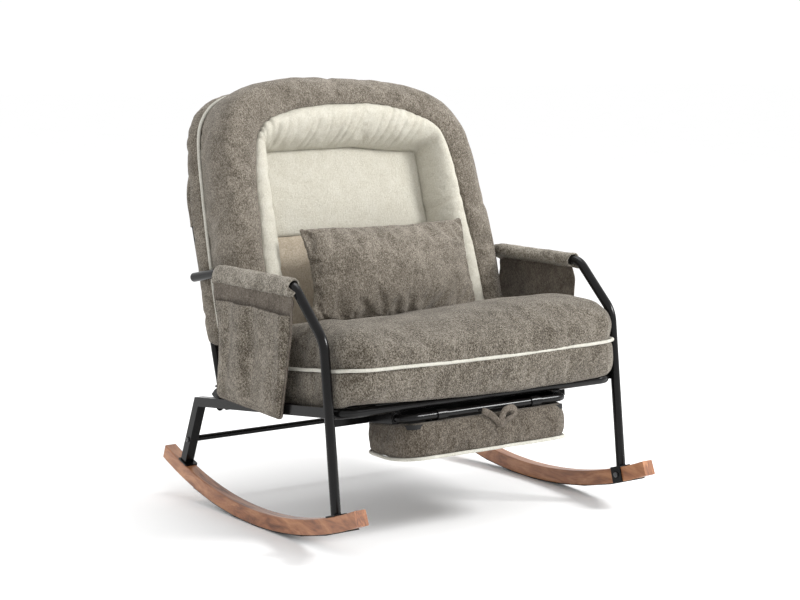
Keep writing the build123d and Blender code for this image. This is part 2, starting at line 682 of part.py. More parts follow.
panel_x0, panel_x1 = 383.2, 386.4
panel_pts = [(-126.0, 507.0), (-156.0, 492.0), (-155.0, 406.0), (-128.0, 258.0), (-117.0, 241.0), (-20.0, 243.0),
             (128.0, 251.0), (136.0, 262.0), (131.0, 411.0), (140.0, 499.0)]
with BuildPart() as arm_panel_left:
    with BuildSketch(Plane.YZ.offset(-panel_x1)):
        Polygon(*panel_pts, align=None)
    extrude(amount=panel_x1 - panel_x0)
arm_panel_left.part.label = "arm_panel_left"

with BuildPart() as arm_panel_right:
    mirror(arm_panel_left.part, about=Plane.YZ)
arm_panel_right.part.label = "arm_panel_right"

pocket_x = 401.0        # outer face of the patch
pocket_t = 2.5
pk_out = [(-150.5, 452.0), (-148.0, 402.0), (-122.0, 262.0), (-112.0, 249.0), (-20.0, 250.5), (122.0, 258.0),
          (127.0, 266.0), (122.5, 411.0), (123.5, 460.0), (0.0, 461.0)]
pk_in = [(-146.0, 480.0), (-143.5, 403.0), (-117.5, 264.0), (-110.0, 254.0), (-20.0, 255.0), (118.0, 262.5),
         (122.0, 268.0), (118.0, 411.0), (118.5, 480.0)]
with BuildPart() as arm_pocket_left:
    with BuildSketch(Plane.YZ.offset(-pocket_x)):
        Polygon(*pk_out, align=None)
    extrude(amount=pocket_x - panel_x1 - 0.1)
    with BuildSketch(Plane.YZ.offset(-pocket_x + pocket_t)):
        Polygon(*pk_in, align=None)
    extrude(amount=20, mode=Mode.SUBTRACT)
arm_pocket_left.part.label = "arm_pocket_left"

with BuildPart() as arm_pocket_right:
    mirror(arm_pocket_left.part, about=Plane.YZ)
arm_pocket_right.part.label = "arm_pocket_right"

# ---------------------------------------------------------------------------
# Pull-out footrest
# ---------------------------------------------------------------------------
slide_plane = seat_plane.offset(bar_w)
with BuildPart() as footrest_tube:
    with BuildLine(slide_plane) as u_path:
        FilletPolyline((-slide_half, slide_rear_l), (-slide_half, bar_l), (slide_half, bar_l),
                       (slide_half, slide_rear_l), radius=26)
    with BuildSketch(Plane(origin=u_path.line @ 0, z_dir=u_path.line % 0)):
        Circle(slide_r)
        Circle(slide_r - tube_wall, mode=Mode.SUBTRACT)
    sweep()
footrest_tube.part.label = "footrest_tube"

guide_l0, guide_l1 = 16.0, 98.0
with BuildPart() as footrest_guides:
    for sx in (-1, 1):
        o = slide_plane.from_local_coords((sx * slide_half, guide_l0, 0))
        with BuildSketch(Plane(origin=o, x_dir=(1, 0, 0), z_dir=(0, ca, -sa))):
            RectangleRounded(23, 23, 3)
        extrude(amount=guide_l1 - guide_l0)
        # saddle that hangs the guide under the cross tube
        g = seat_plane.from_local_coords((sx * slide_half - 9, cross_l, -9.0))
        with BuildSketch(Plane(origin=g, x_dir=(0, ca, -sa), z_dir=(1, 0, 0))):
            Rectangle(24, 10)
        extrude(amount=18)
    with BuildSketch(Plane.YZ.offset(-300)):
        with Locations(seat_pt(cross_l)):
            Circle(8)
    extrude(amount=600, mode=Mode.SUBTRACT)
    for sx in (-1, 1):
        o = slide_plane.from_local_coords((sx * slide_half, guide_l0 - 5, 0))
        with BuildSketch(Plane(origin=o, x_dir=(1, 0, 0), z_dir=(0, ca, -sa))):
            Circle(9.6)
        extrude(amount=guide_l1 - guide_l0 + 30, mode=Mode.SUBTRACT)
footrest_guides.part.label = "footrest_guides"

with BuildPart() as guide_bushes:
    for sx in (-1, 1):
        o = slide_plane.from_local_coords((sx * slide_half, guide_l0, 0))
        with BuildSketch(Plane(origin=o, x_dir=(1, 0, 0), z_dir=(0, ca, -sa))):
            Circle(9.6)
            Circle(slide_r + 0.06, mode=Mode.SUBTRACT)
        extrude(amount=guide_l1 - guide_l0)
guide_bushes.part.label = "guide_bushes"

# steel strips welded under the cross tube, beside and between the guides
with BuildPart() as guide_plate:
    with Locations(*[seat_plane * Location((x, 100.2, -21.5)) for x in (-258.25, 258.25)]):
        Box(83.5, 2.5, 28)
    with Locations(seat_plane * Location((0, 100.2, -21.5))):
        Box(391, 2.5, 28)
    with BuildSketch(Plane.YZ.offset(-340)):
        with Locations(seat_pt(cross_l)):
            Circle(8)
    extrude(amount=680, mode=Mode.SUBTRACT)
guide_plate.part.label = "guide_plate"

# collars that stop the U-tube from leaving its guides, and end caps
with BuildPart() as footrest_stops:
    for sx in (-1, 1):
        o = slide_plane.from_local_coords((sx * slide_half, slide_rear_l - 18, 0))
        with BuildSketch(Plane(origin=o, x_dir=(1, 0, 0), z_dir=(0, ca, -sa))):
            Circle(9.4)
            Circle(slide_r, mode=Mode.SUBTRACT)
        extrude(amount=18)
        o2 = slide_plane.from_local_coords((sx * slide_half, slide_rear_l, 0))
        with BuildSketch(Plane(origin=o2, x_dir=(1, 0, 0), z_dir=(0, ca, -sa))):
            Circle(9.4)
        extrude(amount=3)
footrest_stops.part.label = "footrest_stops"

pad_half = 205.0
pad_l0, pad_l1 = bar_l - 13.0, bar_l + 158.0
pad_w1 = bar_w - 14.0            # upper face of the board
board_t = 9.0
pad_w0 = bar_w - 83.5

with BuildPart() as footrest_board:
    with BuildSketch(seat_plane.offset(pad_w1 - board_t)):
        with Locations((0, (pad_l0 + pad_l1) / 2)):
            RectangleRounded(2 * pad_half - 10, pad_l1 - pad_l0 - 10, 22)
    extrude(amount=board_t)
footrest_board.part.label = "footrest_board"

with BuildPart() as footrest_pad:
    with BuildSketch(seat_plane.offset(pad_w0)):
        with Locations((0, (pad_l0 + pad_l1) / 2)):
            RectangleRounded(2 * pad_half, pad_l1 - pad_l0, 27)
    extrude(amount=pad_w1 - pad_w0)
    with BuildSketch(seat_plane.offset(pad_w1 - board_t - 0.1)):
        with Locations((0, (pad_l0 + pad_l1) / 2)):
            RectangleRounded(2 * pad_half - 9.6, pad_l1 - pad_l0 - 9.6, 22.2)
    extrude(amount=board_t + 5, mode=Mode.SUBTRACT)
footrest_pad.part.label = "footrest_pad"

# strap hinges: a loop round the front bar with a flange on the board
clip_xs = (-120.0, 120.0)
with BuildPart() as footrest_clips:
    for cx in clip_xs:
        c = slide_plane.from_local_coords((cx - 12, bar_l, 0))
        with BuildSketch(Plane(origin=c, x_dir=(0, ca, -sa), z_dir=(1, 0, 0))):
            Circle(10.6)
            with Locations((4, -10.6)):
                Rectangle(8, 6)
            with Locations((16, -12.9)):
                Rectangle(40, 2.2)
            Circle(slide_r + 0.06, mode=Mode.SUBTRACT)
        extrude(amount=24)
footrest_clips.part.label = "footrest_clips"

with BuildPart() as clip_screws:
    for cx in clip_xs:
        for dx in (-6, 6):
            with BuildSketch(seat_plane.offset(pad_w1 + 2.2)):
                with Locations((cx + dx, bar_l + 28)):
                    Circle(3.2)
            extrude(amount=1.8)
clip_screws.part.label = "clip_screws"

# fabric pull loop sewn to the front upper edge of the pad
loop_y, loop_z = seat_pt(pad_l0 - 2.4, pad_w1 - 16)
with BuildPart() as pull_loop:
    with BuildSketch(Plane(origin=(-18, loop_y, loop_z), x_dir=(1, 0, 0), z_dir=(0, -ca, sa))):
        with Locations((0, 0)):
            Rectangle(14, 30)
        with Locations((34, -6)):
            Ellipse(30, 14)
            Ellipse(18, 6, mode=Mode.SUBTRACT)
    extrude(amount=2.0)
pull_loop.part.label = "pull_loop"

# ---------------------------------------------------------------------------
pieces = [
    rocker_left, rocker_right, rocker_grip_left, rocker_grip_right,
    arm_leg_tube_left, arm_leg_tube_right, arm_tube_plugs,
    side_rail_left, side_rail_right, rear_leg_left, rear_leg_right,
    front_leg_brackets, rear_leg_brackets, bracket_bolts,
    rear_stretcher, stretcher_bolts,
    seat_frame_tube, seat_rear_tube, seat_cross_tube, seat_straps, seat_spacers,
    recline_plates_left, recline_plates_right, recline_pivot_pins, recline_latch_pins,
    back_upright_left, back_upright_right, back_top_arch, back_cross_tubes, back_straps,
    seat_cushion, back_cushion_rear, back_cushion_front, back_bolster, back_panel_upper, back_panel_lower,
    back_hood, lumbar_pillow,
    arm_sleeve_left, arm_sleeve_right, arm_panel_left, arm_panel_right, arm_pocket_left, arm_pocket_right,
    footrest_tube, footrest_guides, guide_bushes, guide_plate, footrest_stops,
    footrest_board, footrest_pad, footrest_clips, clip_screws, pull_loop,
]
for piece in pieces:
    export_step(piece.part, "parts/" + piece.part.label + ".step")
print(len(pieces), "pieces; pivot y %.2f z %.2f" % (pivot_y, pivot_z))
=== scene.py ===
import bpy, bmesh, math
import numpy as np
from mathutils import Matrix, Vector, kdtree


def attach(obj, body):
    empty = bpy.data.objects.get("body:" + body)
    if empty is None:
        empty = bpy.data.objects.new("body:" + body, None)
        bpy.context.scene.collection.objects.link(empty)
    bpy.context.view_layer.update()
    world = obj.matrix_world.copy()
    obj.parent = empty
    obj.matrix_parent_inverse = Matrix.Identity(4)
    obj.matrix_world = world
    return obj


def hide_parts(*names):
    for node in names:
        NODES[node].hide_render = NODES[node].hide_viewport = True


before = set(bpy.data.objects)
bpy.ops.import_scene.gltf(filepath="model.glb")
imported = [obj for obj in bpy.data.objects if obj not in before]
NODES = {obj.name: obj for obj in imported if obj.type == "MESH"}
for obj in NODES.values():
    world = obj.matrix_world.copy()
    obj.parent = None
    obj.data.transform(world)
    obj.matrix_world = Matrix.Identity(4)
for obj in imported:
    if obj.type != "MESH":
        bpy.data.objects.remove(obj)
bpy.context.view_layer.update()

sin, cos, pi = math.sin, math.cos, math.pi

# ---------------------------------------------------------------------------
# camera
# ---------------------------------------------------------------------------
cam_data = bpy.data.cameras.new("camera")
cam = bpy.data.objects.new("camera", cam_data)
bpy.context.collection.objects.link(cam)
cam.location = (-2.3335, -3.2498, 0.984)
cam.rotation_euler = (math.radians(82.21), 0.0, math.radians(-35.57))
cam_data.sensor_fit = 'HORIZONTAL'
cam_data.sensor_width = 36.0
cam_data.lens = 85.14
bpy.context.scene.camera = cam
bpy.context.scene.view_settings.view_transform = 'Standard'

# ---------------------------------------------------------------------------
# frames of the back and the seat, in millimetres
# ---------------------------------------------------------------------------
TB, TS = math.radians(16.6), math.radians(6.4)
ct, st = cos(TB), sin(TB)
ca, sa = cos(TS), sin(TS)
PY, PZ = 203.504, 218.268
SY, SZ = -275.5, 272.0


def bk(x, s, f):
    """x across, s up the back, f forward of the uprights -> world metres"""
    x, s, f = np.broadcast_arrays(np.asarray(x, float), np.asarray(s, float), np.asarray(f, float))
    return np.stack([x, PY + s * st - f * ct, PZ + s * ct + f * st], -1) * 0.001


def se(x, l, w):
    """x across, l back along the seat slope, w above the seat tubes -> world metres"""
    x, l, w = np.broadcast_arrays(np.asarray(x, float), np.asarray(l, float), np.asarray(w, float))
    return np.stack([x, SY + l * ca + w * sa, SZ - l * sa + w * ca], -1) * 0.001


def sm(a, b, x):
    t = np.clip((np.asarray(x, float) - a) / (b - a), 0, 1)
    return t * t * (3 - 2 * t)


# ---------------------------------------------------------------------------
# smooth repeatable noise
# ---------------------------------------------------------------------------
_r = np.random.RandomState(11)
_perm = np.concatenate([_r.permutation(256)] * 3)
_g = _r.normal(size=(256, 3))
_g /= np.linalg.norm(_g, axis=1)[:, None]


def noise(P):
    P = np.asarray(P, float)
    i = np.floor(P).astype(int)
    f = P - i
    u = f * f * f * (f * (f * 6 - 15) + 10)
    i &= 255

    def n(a, b, c):
        h = _perm[_perm[_perm[i[:, 0] + a] + i[:, 1] + b] + i[:, 2] + c] & 255
        return (_g[h] * (f - np.array([a, b, c]))).sum(1)

    def mix(a, b, t):
        return a + (b - a) * t
    x0 = mix(mix(n(0, 0, 0), n(1, 0, 0), u[:, 0]), mix(n(0, 1, 0), n(1, 1, 0), u[:, 0]), u[:, 1])
    x1 = mix(mix(n(0, 0, 1), n(1, 0, 1), u[:, 0]), mix(n(0, 1, 1), n(1, 1, 1), u[:, 0]), u[:, 1])
    return mix(x0, x1, u[:, 2]) * 1.5


# ---------------------------------------------------------------------------
# meshes
# ---------------------------------------------------------------------------
def make(name, V, F, mat=None, smooth=True):
    me = bpy.data.meshes.new(name)
    me.from_pydata(np.asarray(V, float).tolist(), [], [list(map(int, f)) for f in F])
    me.validate()
    me.update()
    ob = bpy.data.objects.new(name, me)
    bpy.context.collection.objects.link(ob)
    if smooth:
        me.polygons.foreach_set("use_smooth", [True] * len(me.polygons))
    if mat:
        me.materials.append(mat)
    return ob


def grid_faces(n, m, close_n=False, close_m=False, base=0):
    F = []
    for i in range(n if close_n else n - 1):
        i2 = (i + 1) % n
        for j in range(m if close_m else m - 1):
            j2 = (j + 1) % m
            F.append((base + i * m + j, base + i * m + j2, base + i2 * m + j2, base + i2 * m + j))
    return F


def loft(rows, close_n=False, close_m=True, cap=(True, True)):
    """rows (n, m, 3) of rings -> vertices, faces; open ends get a fan to their middle"""
    rows = np.asarray(rows, float)
    n, m = rows.shape[:2]
    V = rows.reshape(-1, 3)
    F = grid_faces(n, m, close_n, close_m)
    if not close_n:
        for end, k in ((0, 0), (1, n - 1)):
            if cap[end]:
                V = np.vstack([V, rows[k].mean(0)[None]])
                c = len(V) - 1
                for j in range(m if close_m else m - 1):
                    j2 = (j + 1) % m
                    a, b = k * m + j, k * m + j2
                    F.append((c, b, a) if end == 0 else (c, a, b))
    return V, F


def fix_normals(ob):
    bm = bmesh.new()
    bm.from_mesh(ob.data)
    bmesh.ops.recalc_face_normals(bm, faces=bm.faces)
    bm.to_mesh(ob.data)
    bm.free()
    ob.data.update()


def coords(ob):
    n = len(ob.data.vertices)
    co = np.empty(n * 3)
    ob.data.vertices.foreach_get("co", co)
    return co.reshape(-1, 3)


def normals(ob):
    n = len(ob.data.vertices)
    no = np.empty(n * 3)
    ob.data.vertices.foreach_get("normal", no)
    return no.reshape(-1, 3)


def put(ob, co):
    ob.data.vertices.foreach_set("co", np.asarray(co, float).ravel())
    ob.data.update()


def rumple(ob, layers, mask=None):
    """layers of (amplitude mm, feature size mm or (sx, sy, sz), seed) along the normals"""
    co, no = coords(ob), normals(ob)
    d = np.zeros(len(co))
    for amp, size, seed in layers:
        d += amp * 0.001 * noise(co * 1000 / np.asarray(size, float) + seed * 17.3)
    if mask is not None:
        d *= mask(co)
    put(ob, co + no * d[:, None])


def resample(P, step, closed=False):
    P = np.asarray(P, float)
    if closed:
        P = np.vstack([P, P[:1]])
    L = np.concatenate([[0], np.cumsum(np.linalg.norm(np.diff(P, axis=0), axis=1))])
    n = max(4, int(round(L[-1] / step)))
    t = np.linspace(0, L[-1], n + 1)
    Q = np.stack([np.interp(t, L, P[:, k]) for k in range(P.shape[1])], 1)
    return Q[:-1] if closed else Q


def spline(P, n, closed=False):
    """Catmull-Rom through points, n per span"""
    P = np.asarray(P, float)
    N = len(P)
    out = []
    for i in range(N if closed else N - 1):
        p0 = P[(i - 1) % N] if closed or i > 0 else 2 * P[0] - P[1]
        p1, p2 = P[i], P[(i + 1) % N]
        p3 = P[(i + 2) % N] if closed or i < N - 2 else 2 * P[-1] - P[-2]
        for k in range(n):
            t = k / n
            out.append(0.5 * ((2 * p1) + (-p0 + p2) * t + (2 * p0 - 5 * p1 + 4 * p2 - p3) * t * t
                              + (-p0 + 3 * p1 - 3 * p2 + p3) * t ** 3))
    if not closed:
        out.append(P[-1])
    return np.array(out)


def tube(name, path, r, mat, closed=False, sides=10, fuzz=0.0, seed=1, cap=True):
    """mesh tube round a path in metres"""
    P = np.asarray(path, float)
    n = len(P)
    if closed:
        T = np.roll(P, -1, 0) - np.roll(P, 1, 0)
    else:
        T = np.gradient(P, axis=0)
    T /= np.linalg.norm(T, axis=1)[:, None]
    # parallel transport
    up = np.array([0, 0, 1.0])
    if abs(T[0] @ up) > 0.9:
        up = np.array([1.0, 0, 0])
    N = [np.cross(T[0], up)]
    N[0] /= np.linalg.norm(N[0])
    for i in range(1, n):
        v = N[-1] - T[i] * (N[-1] @ T[i])
        N.append(v / np.linalg.norm(v))
    N = np.array(N)
    if closed:
        # spread the closing twist
        B0 = np.cross(T[0], N[0])
        v = N[-1] - T[0] * (N[-1] @ T[0])
        tw = math.atan2(v @ B0, v @ N[0])
        a = -tw * np.arange(n) / n
        B = np.cross(T, N)
        N = N * np.cos(a)[:, None] + B * np.sin(a)[:, None]
    B = np.cross(T, N)
    th = np.arange(sides) * 2 * pi / sides
    R = np.asarray(r, float) if np.ndim(r) else np.full(n, float(r))
    rows = P[:, None] + R[:, None, None] * (N[:, None] * np.cos(th)[None, :, None] + B[:, None] * np.sin(th)[None, :, None])
    if fuzz:
        d = noise(rows.reshape(-1, 3) * 1000 / 5.0 + seed).reshape(n, sides)
        rows = rows + (rows - P[:, None]) * (fuzz * d)[:, :, None]
    V, F = loft(rows, close_n=closed, close_m=True, cap=(cap, cap))
    ob = make(name, V, F, mat)
    fix_normals(ob)
    return ob


def join(name, obs):
    """one mesh from several"""
    V, F, off = [], [], 0
    mats = obs[0].data.materials[0] if obs[0].data.materials else None
    for o in obs:
        V.append(coords(o))
        F += [tuple(v + off for v in p.vertices) for p in o.data.polygons]
        off += len(o.data.vertices)
        bpy.data.objects.remove(o)
    return make(name, np.vstack(V), F, mats)


def subdivide(ob, levels=1):
    m = ob.modifiers.new("s", 'SUBSURF')
    m.levels = m.render_levels = levels
    bake(ob)


def bake(ob):
    """replace the mesh by its evaluated one, with no modifiers left"""
    bpy.context.view_layer.update()
    dg = bpy.context.evaluated_depsgraph_get()
    me = bpy.data.meshes.new_from_object(ob.evaluated_get(dg))
    old = ob.data
    ob.modifiers.clear()
    ob.data = me
    me.name = ob.name
    me.polygons.foreach_set("use_smooth", [True] * len(me.polygons))
    me.update()
    if old.users == 0:
        bpy.data.meshes.remove(old)


# ---------------------------------------------------------------------------
# materials
# ---------------------------------------------------------------------------
def lin(r, g, b):
    def f(c):
        c /= 255.0
        return c / 12.92 if c <= 0.04045 else ((c + 0.055) / 1.055) ** 2.4
    return (f(r), f(g), f(b), 1.0)


def new_mat(name):
    m = bpy.data.materials.new(name)
    m.use_nodes = True
    nt = m.node_tree
    b = nt.nodes["Principled BSDF"]
    return m, nt, b


def node(nt, kind, **kw):
    n = nt.nodes.new(kind)
    for k, v in kw.items():
        if k.startswith("i_"):
            key = k[2:].replace("_", " ")
            n.inputs[key].default_value = v
        else:
            setattr(n, k, v)
    return n


def ramp(nt, fac, stops):
    r = node(nt, "ShaderNodeValToRGB")
    e = r.color_ramp.elements
    while len(e) < len(stops):
        e.new(0.5)
    for k, (p, c) in enumerate(stops):
        e[k].position = p
        e[k].color = c
    nt.links.new(fac, r.inputs["Fac"])
    return r


def mapped(nt, scale, rot=(0, 0, 0)):
    tc = node(nt, "ShaderNodeTexCoord")
    mp = node(nt, "ShaderNodeMapping")
    mp.inputs["Scale"].default_value = scale
    mp.inputs["Rotation"].default_value = rot
    nt.links.new(tc.outputs["Object"], mp.inputs["Vector"])
    return mp.outputs["Vector"]


def noise_tex(nt, vec, scale, detail=3, rough=0.5, dist=0.0):
    n = node(nt, "ShaderNodeTexNoise")
    n.inputs["Scale"].default_value = scale
    n.inputs["Detail"].default_value = detail
    n.inputs["Roughness"].default_value = rough
    n.inputs["Distortion"].default_value = dist
    nt.links.new(vec, n.inputs["Vector"])
    return n.outputs["Fac"]


def math_node(nt, op, a, b=None, clamp=False):
    n = node(nt, "ShaderNodeMath", operation=op)
    n.use_clamp = clamp
    for k, v in ((0, a), (1, b)):
        if v is None:
            continue
        if isinstance(v, (int, float)):
            n.inputs[k].default_value = v
        else:
            nt.links.new(v, n.inputs[k])
    return n.outputs[0]


def mix_col(nt, fac, a, b, blend='MIX'):
    n = node(nt, "ShaderNodeMix")
    n.data_type = 'RGBA'
    n.blend_type = blend
    for key, v in (("Factor", fac), ("A", a), ("B", b)):
        s = [i for i in n.inputs if i.name == key and (i.type == 'RGBA' or key == "Factor" and i.type == 'VALUE')][0]
        if isinstance(v, (tuple, list, int, float)):
            s.default_value = v
        else:
            nt.links.new(v, s)
    return [o for o in n.outputs if o.type == 'RGBA'][0]


def bump(nt, b, h, strength, dist):
    n = node(nt, "ShaderNodeBump")
    n.inputs["Strength"].default_value = strength
    n.inputs["Distance"].default_value = dist
    nt.links.new(h, n.inputs["Height"])
    nt.links.new(n.outputs["Normal"], b.inputs["Normal"])
    return n


def plush(name, dark, mid, light, patch=0.55, pile=0.5, sheen=0.25, fleck=0.3, width=0.09,
          mix=(0.17, 0.20, 0.63)):
    """short-pile plush: brushed patches, a fine pile and a soft sheen"""
    m, nt, b = new_mat(name)
    v = mapped(nt, (1, 1, 1))
    vs = mapped(nt, (1.0, 1.0, 0.7), (0.6, 0.5, 0.3))
    big = noise_tex(nt, v, 24, 2, 0.55, 0.6)          # brushed areas, 40 mm
    midn = noise_tex(nt, vs, 150, 3, 0.65, 1.0)       # mottling, 7 mm
    fine = noise_tex(nt, vs, 430, 4, 0.78, 0.5)       # tufts, 2-3 mm
    hair = noise_tex(nt, vs, 1300, 2, 0.6, 0.0)       # fibres
    a = math_node(nt, 'MULTIPLY', big, mix[0])
    c = math_node(nt, 'MULTIPLY', midn, mix[1])
    d = math_node(nt, 'MULTIPLY', fine, mix[2])
    s = math_node(nt, 'ADD', math_node(nt, 'ADD', a, c), d)
    r = ramp(nt, s, [(0.5 - width, dark), (0.5, mid), (0.5 + width, light)])
    nt.links.new(r.outputs["Color"], b.inputs["Base Color"])
    h = math_node(nt, 'ADD', math_node(nt, 'MULTIPLY', fine, 1.0), math_node(nt, 'MULTIPLY', hair, 0.45))
    h = math_node(nt, 'ADD', h, math_node(nt, 'MULTIPLY', midn, 0.8))
    bump(nt, b, h, pile, 0.0022)
    b.inputs["Roughness"].default_value = 0.92
    b.inputs["Specular IOR Level"].default_value = 0.18
    b.inputs["Sheen Weight"].default_value = sheen
    b.inputs["Sheen Roughness"].default_value = 0.45
    b.inputs["Sheen Tint"].default_value = (1.0, 0.97, 0.92, 1.0)
    return m


taupe = plush("plush_taupe", lin(76, 69, 58), lin(114, 106, 95), lin(156, 148, 136), sheen=0.24, pile=1.0, width=0.088,
              mix=(0.14, 0.15, 0.71))
# lighter copy of the taupe plush for the arm sleeves: painted light on their lit tops
sleeve_painted_light_taupe = plush("plush_sleeve_painted_light_taupe", lin(80, 73, 62), lin(127, 120, 108), lin(174, 167, 155), sheen=0.24, pile=1.0, width=0.055)
# darker copy of the same taupe plush for the seat: painted shade cast by the back and the pillow
seat_painted_shade_taupe = plush("plush_seat_painted_shade_taupe", lin(58, 51, 42), lin(98, 91, 80), lin(143, 136, 125), sheen=0.20, pile=1.0, width=0.068,
                   mix=(0.12, 0.13, 0.75))
# darker copy of the taupe plush for the footrest pad: painted shade under the seat's overhang
foot_painted_shade_taupe = plush("plush_foot_painted_shade_taupe", lin(58, 51, 42), lin(89, 81, 71), lin(125, 117, 106), sheen=0.18, pile=1.0, width=0.074,
                   mix=(0.13, 0.15, 0.72))
taupe_flat = plush("plush_taupe_flat", lin(65, 58, 48), lin(110, 102, 90), lin(158, 150, 138), sheen=0.20, pile=1.0, width=0.06,
                   mix=(0.17, 0.16, 0.67))
# darker, duller copy of the taupe plush: painted shade for the arm panels, which hang in their own shadow, and for the
# pull loop under the seat
darker_painted_shade_taupe = plush("plush_darker_painted_shade_taupe", lin(76, 69, 61), lin(103, 95, 86), lin(132, 124, 114), sheen=0.08, pile=0.7)
# darkest copy of the taupe plush, made as painted shade for the arm panels; no part uses it
darkest_painted_shade_taupe = plush("plush_darkest_painted_shade_taupe", lin(62, 56, 49), lin(88, 80, 72), lin(116, 108, 98), sheen=0.08, pile=0.6)
cream = plush("plush_cream", lin(192, 187, 172), lin(204, 200, 186), lin(212, 209, 197), sheen=0.06, pile=1.0)
# darker, warmer copy of the cream plush: painted shade, standing for the pillow's shadow and warm bounce light in the
# recess on the lower panel
cream_painted_shade = plush("plush_cream_painted_shade", lin(170, 156, 136), lin(186, 173, 154), lin(200, 189, 172), sheen=0.06, pile=1.0)
piping_mat = plush("piping_cream", lin(180, 177, 166), lin(195, 193, 183), lin(207, 205, 196), sheen=0.04, pile=0.5)


def metal_black():
    m, nt, b = new_mat("powder_coat_black")
    v = mapped(nt, (1, 1, 1))
    n1 = noise_tex(nt, v, 30, 3, 0.5)
    n2 = noise_tex(nt, v, 1500, 2, 0.5)
    r = ramp(nt, n1, [(0.3, lin(12, 12, 12)), (0.7, lin(18, 17, 17))])
    nt.links.new(r.outputs["Color"], b.inputs["Base Color"])
    rr = ramp(nt, n1, [(0.3, (0.17, 0.17, 0.17, 1)), (0.7, (0.24, 0.24, 0.24, 1))])
    nt.links.new(rr.outputs["Color"], b.inputs["Roughness"])
    bump(nt, b, n2, 0.05, 0.0003)
    b.inputs["Specular IOR Level"].default_value = 0.2
    return m


def steel_dark():
    m, nt, b = new_mat("zinc_dark")
    v = mapped(nt, (1, 1, 1))
    n1 = noise_tex(nt, v, 400, 3, 0.5)
    r = ramp(nt, n1, [(0.3, (0.10, 0.10, 0.105, 1)), (0.7, (0.19, 0.19, 0.19, 1))])
    nt.links.new(r.outputs["Color"], b.inputs["Base Color"])
    rr = ramp(nt, n1, [(0.3, (0.32, 0.32, 0.32, 1)), (0.7, (0.48, 0.48, 0.48, 1))])
    nt.links.new(rr.outputs["Color"], b.inputs["Roughness"])
    b.inputs["Metallic"].default_value = 0.9
    return m


def plastic_black():
    m, nt, b = new_mat("moulded_plastic_black")
    v = mapped(nt, (1, 1, 1))
    n1 = noise_tex(nt, v, 900, 3, 0.6)
    r = ramp(nt, n1, [(0.3, lin(22, 22, 22)), (0.7, lin(36, 35, 34))])
    nt.links.new(r.outputs["Color"], b.inputs["Base Color"])
    bump(nt, b, n1, 0.15, 0.0003)
    b.inputs["Roughness"].default_value = 0.5
    return m


def rubber():
    m, nt, b = new_mat("rubber_black")
    v = mapped(nt, (1, 1, 1))
    n1 = noise_tex(nt, v, 500, 3, 0.6)
    r = ramp(nt, n1, [(0.3, lin(20, 20, 20)), (0.7, lin(38, 37, 36))])
    nt.links.new(r.outputs["Color"], b.inputs["Base Color"])
    bump(nt, b, n1, 0.3, 0.0004)
    b.inputs["Roughness"].default_value = 0.8
    return m


def wood(name="oiled_wood", dark=lin(92, 50, 26), mid=lin(144, 90, 53), light=lin(174, 120, 79), scale=1.0):
    m, nt, b = new_mat(name)
    v = mapped(nt, (70 * scale, 7 * scale, 22 * scale), (0.12, 0, 0.02))
    g1 = noise_tex(nt, v, 1.0, 5, 0.62, 1.6)
    v2 = mapped(nt, (420 * scale, 26 * scale, 160 * scale), (0.12, 0, 0.02))
    g2 = noise_tex(nt, v2, 1.0, 3, 0.6, 0.2)
    v3 = mapped(nt, (9, 5, 9))
    g3 = noise_tex(nt, v3, 1.0, 2, 0.5, 0.4)
    s = math_node(nt, 'ADD', math_node(nt, 'MULTIPLY', g1, 0.62),
                  math_node(nt, 'ADD', math_node(nt, 'MULTIPLY', g2, 0.18), math_node(nt, 'MULTIPLY', g3, 0.2)))
    r = ramp(nt, s, [(0.38, dark), (0.5, mid), (0.62, light)])
    nt.links.new(r.outputs["Color"], b.inputs["Base Color"])
    bump(nt, b, g2, 0.18, 0.0006)
    rr = ramp(nt, g1, [(0.3, (0.5, 0.5, 0.5, 1)), (0.7, (0.38, 0.38, 0.38, 1))])
    nt.links.new(rr.outputs["Color"], b.inputs["Roughness"])
    b.inputs["Coat Weight"].default_value = 0.35
    b.inputs["Coat Roughness"].default_value = 0.22
    b.inputs["Coat IOR"].default_value = 1.5
    return m


def webbing():
    m, nt, b = new_mat("webbing_black")
    v = mapped(nt, (1, 1, 1))
    w = node(nt, "ShaderNodeTexWave", wave_type='BANDS', bands_direction='X')
    w.inputs["Scale"].default_value = 130
    w.inputs["Distortion"].default_value = 0.4
    nt.links.new(v, w.inputs["Vector"])
    w2 = node(nt, "ShaderNodeTexWave", wave_type='BANDS', bands_direction='Y')
    w2.inputs["Scale"].default_value = 95
    w2.inputs["Distortion"].default_value = 0.4
    nt.links.new(v, w2.inputs["Vector"])
    h = math_node(nt, 'MULTIPLY', w.outputs["Fac"], w2.outputs["Fac"])
    r = ramp(nt, h, [(0.0, lin(22, 22, 22)), (1.0, lin(52, 51, 50))])
    nt.links.new(r.outputs["Color"], b.inputs["Base Color"])
    bump(nt, b, h, 0.5, 0.0008)
    b.inputs["Roughness"].default_value = 0.85
    return m


def thread(name, c0, c1):
    m, nt, b = new_mat(name)
    v = mapped(nt, (1, 1, 1))
    n1 = noise_tex(nt, v, 2500, 2, 0.5)
    r = ramp(nt, n1, [(0.3, c0), (0.7, c1)])
    nt.links.new(r.outputs["Color"], b.inputs["Base Color"])
    b.inputs["Roughness"].default_value = 0.7
    return m


mt_metal, mt_steel, mt_plastic, mt_rubber = metal_black(), steel_dark(), plastic_black(), rubber()
mt_wood = wood()
mt_web = webbing()
mt_thread = thread("thread_taupe", lin(70, 63, 55), lin(92, 84, 75))
mt_thread_cream = thread("thread_cream", lin(176, 165, 146), lin(200, 190, 172))


